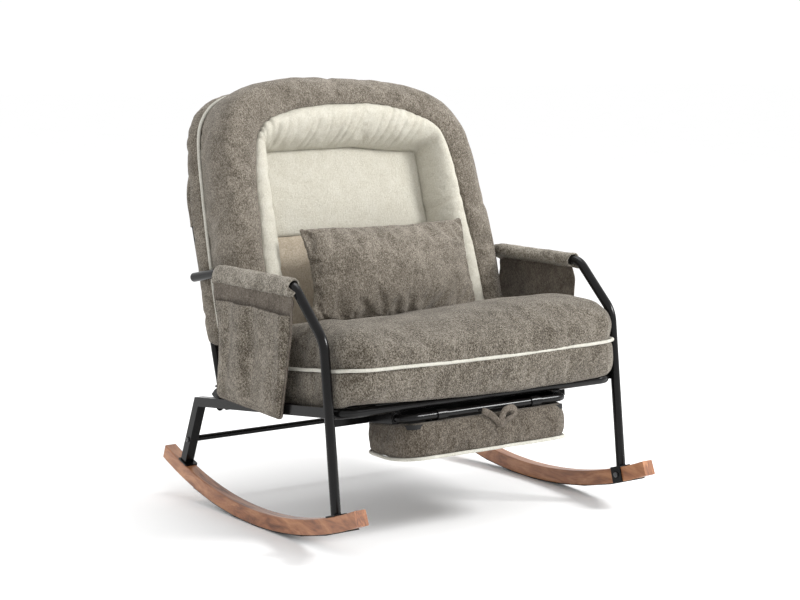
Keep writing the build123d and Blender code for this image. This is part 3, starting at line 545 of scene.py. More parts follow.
def lining():
    m, nt, b = new_mat("lining_black")
    v = mapped(nt, (1, 1, 1))
    n1 = noise_tex(nt, v, 700, 3, 0.6)
    r = ramp(nt, n1, [(0.3, lin(18, 18, 18)), (0.7, lin(34, 33, 32))])
    nt.links.new(r.outputs["Color"], b.inputs["Base Color"])
    bump(nt, b, n1, 0.3, 0.0004)
    b.inputs["Roughness"].default_value = 0.85
    return m


mt_lining = lining()

NODE_MAT = {}
for n in NODES:
    if n.startswith("rocker_grip"):
        NODE_MAT[n] = mt_rubber
    elif n in ("rocker_left", "rocker_right"):
        NODE_MAT[n] = mt_wood
    elif n in ("bracket_bolts", "stretcher_bolts", "seat_frame_bolts", "recline_pivot_pins", "recline_latch_pins", "clip_screws"):
        NODE_MAT[n] = mt_steel
    elif n in ("arm_tube_plugs", "guide_bushes", "footrest_stops"):
        NODE_MAT[n] = mt_plastic
    elif n == "footrest_board":
        NODE_MAT[n] = mt_lining
    else:
        NODE_MAT[n] = mt_metal
for n, m in NODE_MAT.items():
    o = NODES[n]
    for s in o.material_slots:
        s.material = m

# ---------------------------------------------------------------------------
# cloth inflation
# ---------------------------------------------------------------------------
def inflate(ob, pins, voxel=6.0, pressure=4.0, cap=22.0, pin_r=8.0, shrink=-0.03, frames=20, keep=None,
            bend=4.0, tension=12.0, blur=50, level=0.25, gain=1.0):
    """remesh a closed form evenly, pin it along its seams and let air pressure fill it.
    Every form is drawn at its filled size, so the general swelling is mostly taken back (level)
    and the folds and hollows that the filling leaves are kept (gain)."""
    m = ob.modifiers.new("r", 'REMESH')
    m.mode = 'VOXEL'
    m.voxel_size = voxel * 0.001
    m.adaptivity = 0.0
    bake(ob)
    co0 = coords(ob).copy()
    no0 = normals(ob).copy()
    g = ob.vertex_groups.new(name="pin")
    kd = kdtree.KDTree(len(pins))
    for k, p in enumerate(pins):
        kd.insert(p, k)
    kd.balance()
    dist = np.array([kd.find(p)[2] for p in co0]) * 1000
    w = 1 - sm(pin_r * 0.5, pin_r, dist)
    if keep is not None:
        w = np.maximum(w, keep(co0))
    for k in np.nonzero(w > 0.02)[0]:
        g.add([int(k)], float(w[k]), 'REPLACE')
    c = ob.modifiers.new("c", 'CLOTH')
    s = c.settings
    s.quality = 4
    s.mass = 0.3
    s.use_pressure = True
    s.uniform_pressure_force = pressure
    s.effector_weights.gravity = 0.0
    s.vertex_group_mass = "pin"
    s.pin_stiffness = 1.0
    s.shrink_min = shrink
    s.tension_stiffness = tension
    s.compression_stiffness = tension
    s.bending_stiffness = bend
    s.air_damping = 2.0
    c.collision_settings.use_collision = False
    c.collision_settings.use_self_collision = False
    c.point_cache.frame_start = 1
    c.point_cache.frame_end = frames
    sc = bpy.context.scene
    for f in range(1, frames + 1):
        sc.frame_set(f)
    bake(ob)
    co = coords(ob)
    d = co - co0
    if not np.isfinite(d).all():
        d = np.zeros_like(d)
    L = np.linalg.norm(d, axis=1)
    lim = cap * 0.001 * np.tanh(L / (cap * 0.001)) / np.maximum(L, 1e-9)
    d = d * lim[:, None]
    e = np.empty(len(ob.data.edges) * 2, dtype=np.int64)
    ob.data.edges.foreach_get("vertices", e)
    e = e.reshape(-1, 2)
    deg = np.bincount(e.ravel(), minlength=len(co)).astype(float)[:, None]
    b = d.copy()
    for _ in range(blur):
        acc = np.zeros_like(b)
        for k in range(3):
            acc[:, k] = np.bincount(e[:, 0], b[e[:, 1], k], len(co)) + np.bincount(e[:, 1], b[e[:, 0], k], len(co))
        b = 0.5 * b + 0.5 * acc / np.maximum(deg, 1)
    fine = (d - b)
    print("inflated", ob.name, len(co), "vertices; mean %.1f mm, fine rms %.2f mm" % (L.mean() * 1000, 1000 * np.sqrt((fine ** 2).sum(1).mean())))
    put(ob, co0 + b * level + fine * gain)
    ob.vertex_groups.clear()
    sc.frame_set(1)
    subdivide(ob, 1)


# ---------------------------------------------------------------------------
# topstitching
# ---------------------------------------------------------------------------
def stitches(name, path, up, mat, body, pitch=4.6, dash=3.2, r=0.0005):
    """a row of short thread dashes along a path in metres, lifted towards up"""
    P = np.asarray(path, float)
    L = np.concatenate([[0], np.cumsum(np.linalg.norm(np.diff(P, axis=0), axis=1))]) * 1000
    V, F = [], []
    ring = np.arange(5) * 2 * pi / 5
    up = np.asarray(up, float)
    for s in np.arange(1.0, L[-1] - dash, pitch):
        q = [np.array([np.interp(s + a * dash, L, P[:, k]) for k in range(3)]) for a in (0, 0.5, 1)]
        d = q[2] - q[0]
        d /= np.linalg.norm(d)
        n1 = np.cross(d, up)
        n1 /= np.linalg.norm(n1)
        n2 = np.cross(d, n1)
        base = len(V)
        for k, rr in ((0, 0.5), (1, 1.0), (2, 0.5)):
            c = q[k] + up * (0.0003 if k == 1 else -0.0001)
            for a in ring:
                V.append(c + (n1 * cos(a) + n2 * sin(a)) * r * rr)
        for k in (0, 1):
            for j in range(5):
                a0, a1 = base + k * 5 + j, base + k * 5 + (j + 1) % 5
                F.append((a0, a1, a1 + 5, a0 + 5))
        F.append(tuple(base + j for j in range(5))[::-1])
        F.append(tuple(base + 10 + j for j in range(5)))
    ob = make(name, np.array(V), F, mat)
    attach(ob, body)
    return ob


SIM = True

# ---------------------------------------------------------------------------
# outlines of the back cushion (right half, x and s, from the bottom up)
# ---------------------------------------------------------------------------
OUT = [(345, 131), (343, 200), (340, 270), (338, 340), (335, 400), (331, 455), (324.5, 500), (316, 537), (304.5, 561),
       (289, 585), (270, 605), (249, 619.5), (221, 633), (195, 641), (169, 647), (143, 652), (116, 656.5), (90, 660.5),
       (60, 664), (30, 665.5), (0, 666)]
OUT_LEFT = [(346, 131), (346, 200), (344, 270), (341, 340), (338, 400), (334.5, 455), (331, 505), (327, 545), (321, 573),
            (311, 597), (297, 617), (277, 635), (251, 648), (224, 655.5), (196, 660), (170, 663), (140, 665.5),
            (94, 667), (45, 666.5), (0, 666)]
SEAM = [(284, 131), (281.5, 190), (277.5, 250), (273, 315), (268.5, 375), (264.5, 430), (259.5, 475), (253, 512),
        (245, 536), (232, 557), (207, 576), (168, 589), (125, 599), (60, 605), (0, 606.5)]
REC_HALF, REC_TOP = 210.0, 521.0
C_S = 430.0


def half(P):
    return spline(P, 10)


def polar(P):
    d = half(P) - np.array([0, C_S])
    a = np.arctan2(d[:, 1], d[:, 0])
    r = np.hypot(d[:, 0], d[:, 1])
    return a, r


OUT_H, SEAM_H, OUT_HL = half(OUT), half(SEAM), half(OUT_LEFT)
OUT_P, SEAM_P, OUT_PL = polar(OUT), polar(SEAM), polar(OUT_LEFT)


def asym(x, s):
    """the right shoulder of the cream roll sits a little lower"""
    return s - 8.0 * sm(40, 230, x) * sm(430, 540, s)


def stations(step=7.0, s0=131.0):
    """matching points on the outer outline and on the cream seam, left foot to right foot"""
    ns = int((C_S - s0) / step)
    legs = np.linspace(s0, C_S, ns, endpoint=False)
    na = int(1000 / step)
    ang = np.linspace(0, pi, na + 1)
    A, B = [], []
    for s in legs:
        A.append((-np.interp(s, OUT_HL[:, 1], OUT_HL[:, 0]), s))
        B.append((-np.interp(s, SEAM_H[:, 1], SEAM_H[:, 0]), s))
    for a in pi - ang:
        b = min(a, pi - a)
        ro = np.interp(b, *(OUT_PL if a > pi / 2 else OUT_P))
        ri = np.interp(b, SEAM_P[0], SEAM_P[1])
        A.append((ro * cos(a), C_S + ro * sin(a)))
        B.append((ri * cos(a), C_S + ri * sin(a)))
    for s in legs[::-1]:
        A.append((np.interp(s, OUT_H[:, 1], OUT_H[:, 0]), s))
        B.append((np.interp(s, SEAM_H[:, 1], SEAM_H[:, 0]), s))
    A, B = np.array(A), np.array(B)
    B[:, 1] = asym(B[:, 0], B[:, 1])
    return A, B


A_ST, B_ST = stations()


def profile_rows(A, B, prof, per=5):
    """prof: list of (outward mm beyond A, fraction towards B, f) control points of a closed section"""
    A, B = np.asarray(A, float), np.asarray(B, float)
    W = np.linalg.norm(A - B, axis=1)
    n = (A - B) / W[:, None]
    rows = []
    for k in range(len(A)):
        pts = np.array([(o - fr * W[k], f) for o, fr, f in (prof(k) if callable(prof) else prof)])
        q = spline(pts, per, closed=True)
        xs = A[k][None] + n[k][None] * q[:, :1]
        rows.append(bk(xs[:, 0], xs[:, 1], q[:, 1]))
    return np.array(rows)


# ---------------------------------------------------------------------------
# front ring of the back cushion
# ---------------------------------------------------------------------------
def ring_prof(k):
    x, s = A_ST[k]
    side = 0.15 + 0.85 * float(sm(0.25, 0.8, abs(x) / 345.0)) * float(1 - sm(500, 600, s))
    b = 7.0 * side
    return [(0, 0, 68.5), (b * 0.75, 0, 88), (b, 0, 112), (b * 0.8, 0, 136), (-1.5, 0, 156), (-10, 0, 173),
            (-24, 0, 183.5), (0, .54, 187.3), (0, .74, 184.8), (0, .90, 179.5), (0, .99, 172.5), (0, 1.03, 165),
            (0, 1.03, 140), (0, .98, 100), (0, .9, 70.5), (0, .5, 68.8), (-6, 0, 68.2)]


rows = profile_rows(A_ST, B_ST, ring_prof)
V, F = loft(rows)
ring = make("back_cushion_ring", V, F, taupe)
fix_normals(ring)
ring_pins = np.vstack([bk(A_ST[:, 0], A_ST[:, 1], 68.0), bk(B_ST[:, 0], B_ST[:, 1], 168.0)])
if SIM:
    inflate(ring, ring_pins, voxel=7.0, pressure=4.0, cap=24, pin_r=9)
rumple(ring, [(2.2, 150, 1), (1.2, 62, 2), (0.6, 24, 3)])
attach(ring, "backrest")
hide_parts("back_cushion_front")

# piping between the front ring and the rear band
pp = A_ST.copy()
path = bk(pp[:, 0] * 1.004, C_S + (pp[:, 1] - C_S) * 1.004, 68.0)
path = resample(path, 0.006)
d = noise(path * 1000 / 60.0)[:, None] * 0.0009
path = path + d * np.array([0, 1.0, 0.3])
pip_back = tube("back_piping", path, 0.0037, piping_mat, sides=10, fuzz=0.10, seed=3)
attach(pip_back, "backrest")

# ---------------------------------------------------------------------------
# rear band of the back cushion
# ---------------------------------------------------------------------------
def closed_outline(P, s0):
    """outline with its bottom edge, closed"""
    P = np.asarray(P, float)
    L, R = P[0], P[-1]
    n = int(abs(R[0] - L[0]) / 9)
    bot = np.stack([np.linspace(R[0], L[0], n + 1)[1:-1], np.full(n - 1, s0)], 1)
    return np.vstack([P, bot])


def puck(name, outline, prof, fplace, mat, centre, caps=(0.9, 0.78, 0.62, 0.44, 0.26, 0.1), front=None, rear=None):
    """closed form from a closed outline: prof is (outward offset, height) from the rear edge to the front edge,
    then both faces close in rings towards the centre at height front(r, xy) and rear(r, xy)"""
    O = np.asarray(outline, float)
    T = np.roll(O, -1, 0) - np.roll(O, 1, 0)
    N = np.stack([T[:, 1], -T[:, 0]], 1)
    N /= np.linalg.norm(N, axis=1)[:, None]
    C = np.asarray(centre, float)
    if ((O - C) * N).sum() < 0:
        N = -N
    rings = []
    for r in sorted(caps):
        q = C + (O + N * prof[0][0] - C) * r
        rings.append((q, rear(r, q) if rear else np.full(len(q), prof[0][1])))
    for o, h in prof:
        rings.append((O + N * o, np.full(len(O), float(h)) if np.ndim(h) == 0 else h))
    for r in sorted(caps, reverse=True):
        q = C + (O + N * prof[-1][0] - C) * r
        rings.append((q, front(r, q) if front else np.full(len(q), prof[-1][1])))
    rows = np.array([fplace(q[:, 0], q[:, 1], h) for q, h in rings])
    V, F = loft(rows)
    ob = make(name, V, F, mat)
    fix_normals(ob)
    return ob


out_c = closed_outline(A_ST, 131.0)
band_prof = [(-9, 13.2), (-2, 14.2), (3.6, 17.2), (7.4, 23), (9.0, 31), (8.6, 41), (6.4, 51), (2.6, 60), (-1.0, 64.8), (-6, 67)]
band = puck("back_cushion_band", out_c, band_prof, bk, taupe, (0, 400),
            rear=lambda r, q: 13.2 + 0.0 * q[:, 0])
if SIM:
    inflate(band, np.vstack([bk(out_c[:, 0], out_c[:, 1], 67.0), bk(out_c[:, 0] * 0.985, out_c[:, 1], 13.0)]),
            voxel=8.0, pressure=4.0, cap=22, pin_r=10)
rumple(band, [(1.6, 120, 4), (1.4, 45, 5), (0.6, 20, 6)],
       mask=lambda c: 0.25 + 0.75 * sm(0.30, 0.335, np.abs(c[:, 0]) + 0.0))
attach(band, "backrest")
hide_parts("back_cushion_rear")

# ---------------------------------------------------------------------------
# cream roll round the recess
# ---------------------------------------------------------------------------
def roll_stations(step=6.5, s0=131.0):
    """points on the cream seam and on the recess edge, mitred at the recess corners"""
    seam = B_ST.copy()
    L = np.concatenate([[0], np.cumsum(np.linalg.norm(np.diff(seam, axis=0), axis=1))])
    # corner stations: where the seam meets the 45 degree line from the recess corners
    def corner(sx):
        top = rec_top(sx * REC_HALF)
        d = (seam[:, 0] * sx - REC_HALF) - (seam[:, 1] - top)
        ok = seam[:, 1] > top - 5
        ok &= seam[:, 0] * sx > 0
        idx = np.nonzero(ok)[0]
        return idx[np.argmin(np.abs(d[idx]))]
    kl, kr = corner(-1), corner(1)
    t = [np.linspace(0, L[kl], int(L[kl] / step)), np.linspace(L[kl], L[kr], int((L[kr] - L[kl]) / step)),
         np.linspace(L[kr], L[-1], int((L[-1] - L[kr]) / step))]
    A, B = [], []
    for k, tt in enumerate(t):
        if k:
            tt = tt[1:]
        p = np.stack([np.interp(tt, L, seam[:, 0]), np.interp(tt, L, seam[:, 1])], 1)
        fr = (tt - (0 if k == 0 else L[(kl, kr)[k - 1]])) / ((L[kl], L[kr] - L[kl], L[-1] - L[kr])[k])
        if k == 0:
            q = np.stack([np.full(len(tt), -REC_HALF), s0 + fr * (rec_top(-REC_HALF) - s0)], 1)
        elif k == 1:
            x = -REC_HALF + fr * 2 * REC_HALF
            q = np.stack([x, rec_top(x)], 1)
        else:
            q = np.stack([np.full(len(tt), REC_HALF), rec_top(REC_HALF) + fr * (s0 - rec_top(REC_HALF))], 1)
        A.append(p)
        B.append(q)
    return np.vstack(A), np.vstack(B), kl, kr


def rec_top(x):
    """lower edge of the top roll: nearly level, dipping towards the right"""
    x = np.asarray(x, float)
    return 521.0 + 2.0 * np.cos(x / 110.0) - 11.0 * sm(20, 170, x) - 2.0 * sm(-150, -210, x)


RA, RB, kl, kr = roll_stations()
def roll_prof(k):
    return [(0, -.03, 163), (0, -.01, 170.5), (0, .07, 177), (0, .20, 180.5), (0, .36, 179.5), (0, .53, 172.5),
            (0, .70, 160), (0, .85, 143), (0, .95, 127), (0, 1.0, 113), (0, 1.0, 104), (0, .95, 90), (0, .8, 75), (0, .5, 71),
            (0, .1, 71), (0, -.03, 90), (0, -.03, 130)]


rows = profile_rows(RA, RB, roll_prof)
mitre = []
for k in (kl, kr):
    mid = rows[k].mean(0)
    for dk, am in ((-1, 0.02), (0, 0.075), (1, 0.02)):
        rows[k + dk] = rows[k + dk] + (rows[k + dk].mean(0) - rows[k + dk]) * am
    mitre.append(rows[k][10:48].copy())
roll_pins = np.vstack([bk(RA[:, 0], RA[:, 1], 166.0), bk(RB[:, 0], RB[:, 1], 108.0)] + mitre)
V, F = loft(rows)
roll = make("back_cream_roll", V, F, cream)
fix_normals(roll)


def roll_mask(c):
    return np.ones(len(c))


# gathers across the top roll
def gathers(ob):
    co, no = coords(ob), normals(ob)
    loc = back_local(co)
    x, s, f = loc[:, 0], loc[:, 1], loc[:, 2]
    top = sm(505, 530, s) * sm(0, 12, f - 104)
    d = np.zeros(len(co))
    rs = np.random.RandomState(5)
    # narrow creases, fanned out from the two upper corners of the recess
    for x0, wd, amp, lean in [(-243, 3.2, 3.0, -0.55), (-231, 3.0, 3.4, -0.36), (-219, 3.0, 3.2, -0.2), (-206, 3.2, 2.8, -0.08),
                              (-190, 3.4, 2.8, 0.04), (-168, 4.0, 1.8, 0.1), (-140, 4.5, 1.4, 0.16), (-108, 3.4, 2.2, 0.22),
                              (-90, 3.2, 2.4, 0.26), (-56, 3.6, 1.6, 0.22), (-26, 3.2, 2.4, 0.3), (-8, 3.0, 2.6, 0.34),
                              (14, 3.4, 1.8, 0.34), (44, 4.0, 1.2, 0.3), (72, 3.4, 1.8, 0.36), (96, 3.0, 2.6, 0.42),
                              (114, 3.2, 2.2, 0.46), (136, 3.4, 2.4, 0.5), (160, 3.4, 2.2, 0.55), (180, 3.2, 2.2, 0.62)]:
        bow = 3.0 * np.sin((s - 520) / 26.0 + x0 * 0.3)
        u = (x - x0 - lean * (s - 540) - bow) / wd
        v = (x - x0 - lean * (s - 540) - bow - 2.6 * wd) / (1.8 * wd)
        fade = 0.55 + 0.45 * np.cos((s - 548 - 14 * np.sin(x0)) / 20.0)
        d += (-amp * np.exp(-u * u) + 0.4 * amp * np.exp(-v * v)) * fade
    put(ob, co + no * (d * top * 0.001)[:, None])


def back_local(co):
    y = co[:, 1] * 1000 - PY
    z = co[:, 2] * 1000 - PZ
    return np.stack([co[:, 0] * 1000, y * st + z * ct, -y * ct + z * st], 1)


if SIM:
    inflate(roll, roll_pins, voxel=5.5, pressure=4.0, cap=22, pin_r=6, shrink=-0.03, gain=0.45)
gathers(roll)
rumple(roll, [(1.8, 90, 7), (0.9, 34, 8), (0.5, 14, 9)])
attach(roll, "backrest")
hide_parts("back_bolster")

# mitre seams at the corners of the roll, sewn with cream thread
for j, k in enumerate((kl, kr)):
    line = rows[k][14:46]
    dg = bpy.context.evaluated_depsgraph_get()
    pts = []
    mid = rows[k].mean(0)
    inv = roll.matrix_world.inverted()
    for q in resample(line, 0.0025):
        hit, loc_, nrm_, _ = roll.closest_point_on_mesh(inv @ Vector(q))
        pts.append(np.array(loc_) + np.array(nrm_) * 0.0002)
    rowst = stitches("roll_mitre_stitch_%d" % j, pts, (0, -ct, st), mt_thread_cream, "backrest",
                     pitch=5.0, dash=3.4, r=0.0005)


def seam_tube(name, pts, r, mat, seed=1):
    p = resample(spline(np.asarray(pts, float), 12), 0.003)
    return tube(name, p, r, mat, sides=6, fuzz=0.15, seed=seed)


# ---------------------------------------------------------------------------
# recessed cream panels
# ---------------------------------------------------------------------------
def panel(name, s0, s1, mat, seed, node_name, tuck_top=True):
    nx, ns = 66, int((s1 - s0) / 6) + 1
    xs = np.linspace(-213, 213, nx)
    rows = []
    tt = np.linspace(0, 1, ns)
    front = []
    for t in tt:
        top = rec_top(xs) + 3 if tuck_top else np.full(nx, s1)
        s = s0 + t * (top - s0)
        ex = np.clip((213 - np.abs(xs)) / 26.0, 0, 1)
        et = np.clip(np.minimum(t, 1 - t) * (s1 - s0) / 22.0, 0, 1)
        puff = 4.5 * np.sqrt(1 - (1 - ex) ** 2) * np.sqrt(1 - (1 - et) ** 2) + 3.0 * sm(0, 1, ex) * np.sin(pi * t) * np.cos(xs / 213 * pi / 2)
        front.append(bk(xs, s, 101.5 + puff))
    front = np.array(front)
    back = []
    for t in tt:
        top = rec_top(xs) + 3 if tuck_top else np.full(nx, s1)
        s = s0 + t * (top - s0)
        back.append(bk(xs, s, 72.0))
    back = np.array(back)
    n, m = front.shape[:2]
    V = np.vstack([front.reshape(-1, 3), back.reshape(-1, 3)])
    F = grid_faces(n, m) + [f[::-1] for f in grid_faces(n, m, base=n * m)]
    for i in range(n - 1):
        for j in (0, m - 1):
            a, b = i * m + j, (i + 1) * m + j
            F.append((a, b, b + n * m, a + n * m) if j else (b, a, a + n * m, b + n * m))
    for j in range(m - 1):
        for i in (0, n - 1):
            a, b = i * m + j, i * m + j + 1
            F.append((a, b, b + n * m, a + n * m) if i == 0 else (b, a, a + n * m, b + n * m))
    ob = make(name, V, F, mat)
    fix_normals(ob)
    rumple(ob, [(1.6, 85, seed), (0.8, 28, seed + 1)], mask=lambda c: sm(90, 100, back_local(c)[:, 2]))
    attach(ob, "backrest")
    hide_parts(node_name)
    return ob


p_up = panel("back_panel_top", 333.0, 521.0, cream, 31, "back_panel_upper")
# the lower panel takes the darker, warmer cream as painted shade under the pillow
p_lo = panel("back_panel_bottom", 131.0, 332.4, cream_painted_shade, 41, "back_panel_lower", tuck_top=False)

# ---------------------------------------------------------------------------
# hood over the top of the back frame
# ---------------------------------------------------------------------------
HS = 386.0
HX, HR, HT = 338.2, 187.0, 612.0
arc = [(-HX, HS)]
for a in np.linspace(pi, pi / 2, 26):
    arc.append((-HX + HR + HR * cos(a), HT - HR + HR * sin(a)))
for a in np.linspace(pi / 2, 0, 26):
    arc.append((HX - HR + HR * cos(a), HT - HR + HR * sin(a)))
arc.append((HX, HS))
arc = resample(np.array(arc), 8.0)
rings = []
C = np.array([0, HS])
T = np.gradient(arc, axis=0)
N = np.stack([T[:, 1], -T[:, 0]], 1)
N /= np.linalg.norm(N, axis=1)[:, None]
if ((arc - np.array([0, 450])) * N).sum() < 0:
    N = -N
th = np.linspace(0, pi / 2, 6)
tube_c = arc - N * 12.0
side_rows = []
rr = [0.06, 0.2, 0.36, 0.52, 0.68, 0.82, 0.92, 0.975]


def hood_rows(sgn):
    rows = []
    for r in rr:
        q = C + (tube_c - C) * r
        sag = 1.0 - 0.30 * sm(0.0, 0.35, (1 - r))
        rows.append(bk(q[:, 0], q[:, 1], sgn * (11.9 if sgn > 0 else 12.0) * (1.0 if sgn > 0 else sag)))
    for a in th[::-1][0:]:
        q = tube_c + N * 12.0 * cos(a)
        rows.append(bk(q[:, 0], q[:, 1], sgn * 12.0 * sin(a)))
    return rows


front_rows = hood_rows(1)
rear_rows = hood_rows(-1)[::-1][1:]
rows = np.array(front_rows + rear_rows)
n, m = rows.shape[:2]
Vh = rows.reshape(-1, 3)
Fh = grid_faces(n, m)
hood = make("back_hood_cover", Vh, Fh, taupe_flat)
fix_normals(hood)
rumple(hood, [(1.6, (160, 160, 60), 12), (0.9, 50, 13)],
       mask=lambda c: np.where(back_local(c)[:, 2] > 4, 0.0, 1.0))
sol = hood.modifiers.new("t", 'SOLIDIFY')
sol.thickness = 0.0018
sol.offset = -1.0
bake(hood)
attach(hood, "backrest")
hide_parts("back_hood")

# ---------------------------------------------------------------------------
# lumbar pillow
# ---------------------------------------------------------------------------
def pillow():
    n = 74
    m = 36
    u = np.sin(np.linspace(-1, 1, n) * pi / 2 * 0.98) / sin(pi / 2 * 0.98)
    v = np.sin(np.linspace(-1, 1, m) * pi / 2 * 0.98) / sin(pi / 2 * 0.98)
    U, Vv = np.meshgrid(u, v, indexing="ij")
    hx, hs = 217.0, 98.0
    X = hx * U * (1 - np.where(U < 0, 0.085, 0.045) * (1 - Vv ** 2) ** 1.2)
    pinch = (1 - np.abs(U) ** 2.2) ** 1.1
    S = hs * np.where(Vv > 0, Vv * (1 - 0.10 * pinch), Vv * (1 + 0.10 * pinch))
    edge = ((1 - U ** 2) * (1 - Vv ** 2))
    T = 47.0 * np.maximum(edge, 0) ** 0.42 * (0.74 + 0.26 * (1 - U ** 2))
    Tf, Tb = T * 1.06, T * 0.72
    c_s, c_f = 231.0, 219.0
    front = bk(X + 5, S + c_s, c_f + Tf)
    back = bk(X + 5, S + c_s, c_f - Tb)
    Vt = np.vstack([front.reshape(-1, 3), back.reshape(-1, 3)])
    F = grid_faces(n, m) + [f[::-1] for f in grid_faces(n, m, base=n * m)]
    ob = make("lumbar_pillow_cover", Vt, F, taupe)
    bm = bmesh.new()
    bm.from_mesh(ob.data)
    bmesh.ops.remove_doubles(bm, verts=bm.verts, dist=0.0004)
    bmesh.ops.recalc_face_normals(bm, faces=bm.faces)
    bm.to_mesh(ob.data)
    bm.free()
    ob.data.polygons.foreach_set("use_smooth", [True] * len(ob.data.polygons))
    return ob


pil = pillow()
pil_u = np.linspace(-1, 1, 90)
pil_pinch = (1 - np.abs(pil_u) ** 2.2) ** 1.1
pil_edge = np.vstack([
    np.stack([217 * pil_u + 5, 231 + 98 * (1 - 0.10 * pil_pinch)], 1),
    np.stack([217 * pil_u + 5, 231 - 98 * (1 + 0.10 * pil_pinch)], 1),
    np.stack([5 - 217 * (1 - 0.085 * (1 - pil_u ** 2) ** 1.2), 231 + 98 * pil_u], 1),
    np.stack([5 + 217 * (1 - 0.045 * (1 - pil_u ** 2) ** 1.2), 231 + 98 * pil_u], 1)])
if SIM:
    inflate(pil, bk(pil_edge[:, 0], pil_edge[:, 1], 219.0), voxel=5.0, pressure=4.0, cap=14, pin_r=6, shrink=-0.05,
            level=0.2, gain=1.2)
rumple(pil, [(3.0, 95, 21), (1.5, 40, 22), (0.7, 18, 23)])
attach(pil, "pillow")
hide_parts("lumbar_pillow")

# ---------------------------------------------------------------------------
# seat cushion
# ---------------------------------------------------------------------------
SX, SY0, SY1 = 350.0, -309.0, 157.0
RF, RR = 58.0, 34.0


def seat_outline(step=8.0):
    P = []
    P.append((-SX + RR, SY1))
    for a in np.linspace(pi / 2, pi, 10):
        P.append((-SX + RR + RR * cos(a), SY1 - RR + RR * sin(a)))
    for a in np.linspace(pi, 1.5 * pi, 22):
        P.append((-SX + RF + RF * cos(a), SY0 + RF + RF * sin(a)))
    for a in np.linspace(1.5 * pi, 2 * pi, 22):
        P.append((SX - RF + RF * cos(a), SY0 + RF + RF * sin(a)))
    for a in np.linspace(0, pi / 2, 10):
        P.append((SX - RR + RR * cos(a), SY1 - RR + RR * sin(a)))
    return resample(np.array(P), step, closed=True)


def seat_dist(x, y):
    """inset from the plan outline"""
    yc = (SY0 + SY1) / 2
    hy = (SY1 - SY0) / 2
    r = np.where(y < yc, RF, RR)
    qx, qy = np.abs(x) - SX + r, np.abs(y - yc) - hy + r
    d = np.minimum(np.maximum(qx, qy), 0) + np.hypot(np.maximum(qx, 0), np.maximum(qy, 0)) - r
    return -d


def z_bottom(y):
    # 12.8 mm above the seat tubes' plane
    return SZ - (y - SY) * sa / ca + 12.8 / ca


def z_piping(x, y):
    return z_bottom(y) + 66.0 + 6.0 * (np.abs(x) / 349.0) ** 2


CROWN = spline(np.array([(-330, 427), (-300, 431), (-250, 435.5), (-200, 437.5), (-168, 437), (-100, 425), (-20, 409), (57, 395), (110, 381), (157, 366)], float), 10)
G_E = [0, 5, 15, 25, 36, 55, 90, 400]
G_H = [.62, .69, .80, .88, .94, .98, 1.0, 1.0]


def seat_top(x, y):
    d = seat_dist(x, y)
    g = np.interp(np.maximum(d, 0), G_E, G_H)
    # quicker shoulder along the sides, slower at the front
    zc = np.interp(y, CROWN[:, 0], CROWN[:, 1])
    zp = z_piping(x, y)
    return zp + g * (zc + 7.0 * sm(60, 170, x) - 8.0 * sm(-300, -240, x) * (1 - sm(-70, 60, x)) - zp)


def seat():
    O = seat_outline()
    Tn = np.roll(O, -1, 0) - np.roll(O, 1, 0)
    Nn = np.stack([Tn[:, 1], -Tn[:, 0]], 1)
    Nn /= np.linalg.norm(Nn, axis=1)[:, None]
    C = np.array([0, -70.0])
    if ((O - C) * Nn).sum() < 0:
        Nn = -Nn
    rows = []
    # underside
    for r in (0.08, 0.3, 0.55, 0.78, 0.93):
        q = C + (O - C) * r
        rows.append(np.stack([q[:, 0], q[:, 1], z_bottom(q[:, 1])], 1))
    for o, dz in [(-9, 0.0), (-4, 2.5), (-1, 8), (1.5, 18), (3.0, 32), (2.6, 46), (0.8, 57), (-1.2, 63)]:
        q = O + Nn * o
        zb, zp = z_bottom(q[:, 1]), z_piping(q[:, 0], q[:, 1])
        rows.append(np.stack([q[:, 0], q[:, 1], zb + dz * (zp - zb) / 66.0], 1))
    # seam groove and the puffed upper side
    for o, h in [(-2.2, 0.0), (1.0, 0.06), (4.6, 0.16), (6.4, 0.28), (6.6, 0.39), (5.4, 0.49), (3.0, 0.57)]:
        q = O + Nn * o
        zp = z_piping(q[:, 0], q[:, 1])
        zc = np.interp(q[:, 1], CROWN[:, 0], CROWN[:, 1])
        rows.append(np.stack([q[:, 0], q[:, 1], zp + h * (zc - zp)], 1))
    for r in (1.0, 0.985, 0.965, 0.94, 0.91, 0.875, 0.835, 0.79, 0.74, 0.68, 0.61, 0.53, 0.44, 0.34, 0.23, 0.12, 0.04):
        q = C + (O - C) * r
        rows.append(np.stack([q[:, 0], q[:, 1], seat_top(q[:, 0], q[:, 1])], 1))
    V, F = loft(np.array(rows) * 0.001)
    # the seat cover uses the darker taupe copy, painted shade
    ob = make("seat_cushion_cover", V, F, seat_painted_shade_taupe)
    fix_normals(ob)
    return ob, O, Nn


seat_ob, seatO, seatN = seat()
if SIM:
    pin = []
    for o, dz in ((-6, 0.0), (-2.0, 66.0)):
        q = seatO + seatN * o
        zb, zp = z_bottom(q[:, 1]), z_piping(q[:, 0], q[:, 1])
        pin.append(np.stack([q[:, 0], q[:, 1], zb + dz * (zp - zb) / 66.0], 1) * 0.001)
    inflate(seat_ob, np.vstack(pin), voxel=7.0, pressure=4.0, cap=24, pin_r=9,
            keep=lambda c: 1 - sm(0.001, 0.004, c[:, 2] - z_bottom(c[:, 1] * 1000) * 0.001))
rumple(seat_ob, [(3.0, 150, 51), (1.6, 60, 52), (0.7, 24, 53)],
       mask=lambda c: sm(0.0, 0.02, c[:, 2] - z_bottom(c[:, 1] * 1000) * 0.001))


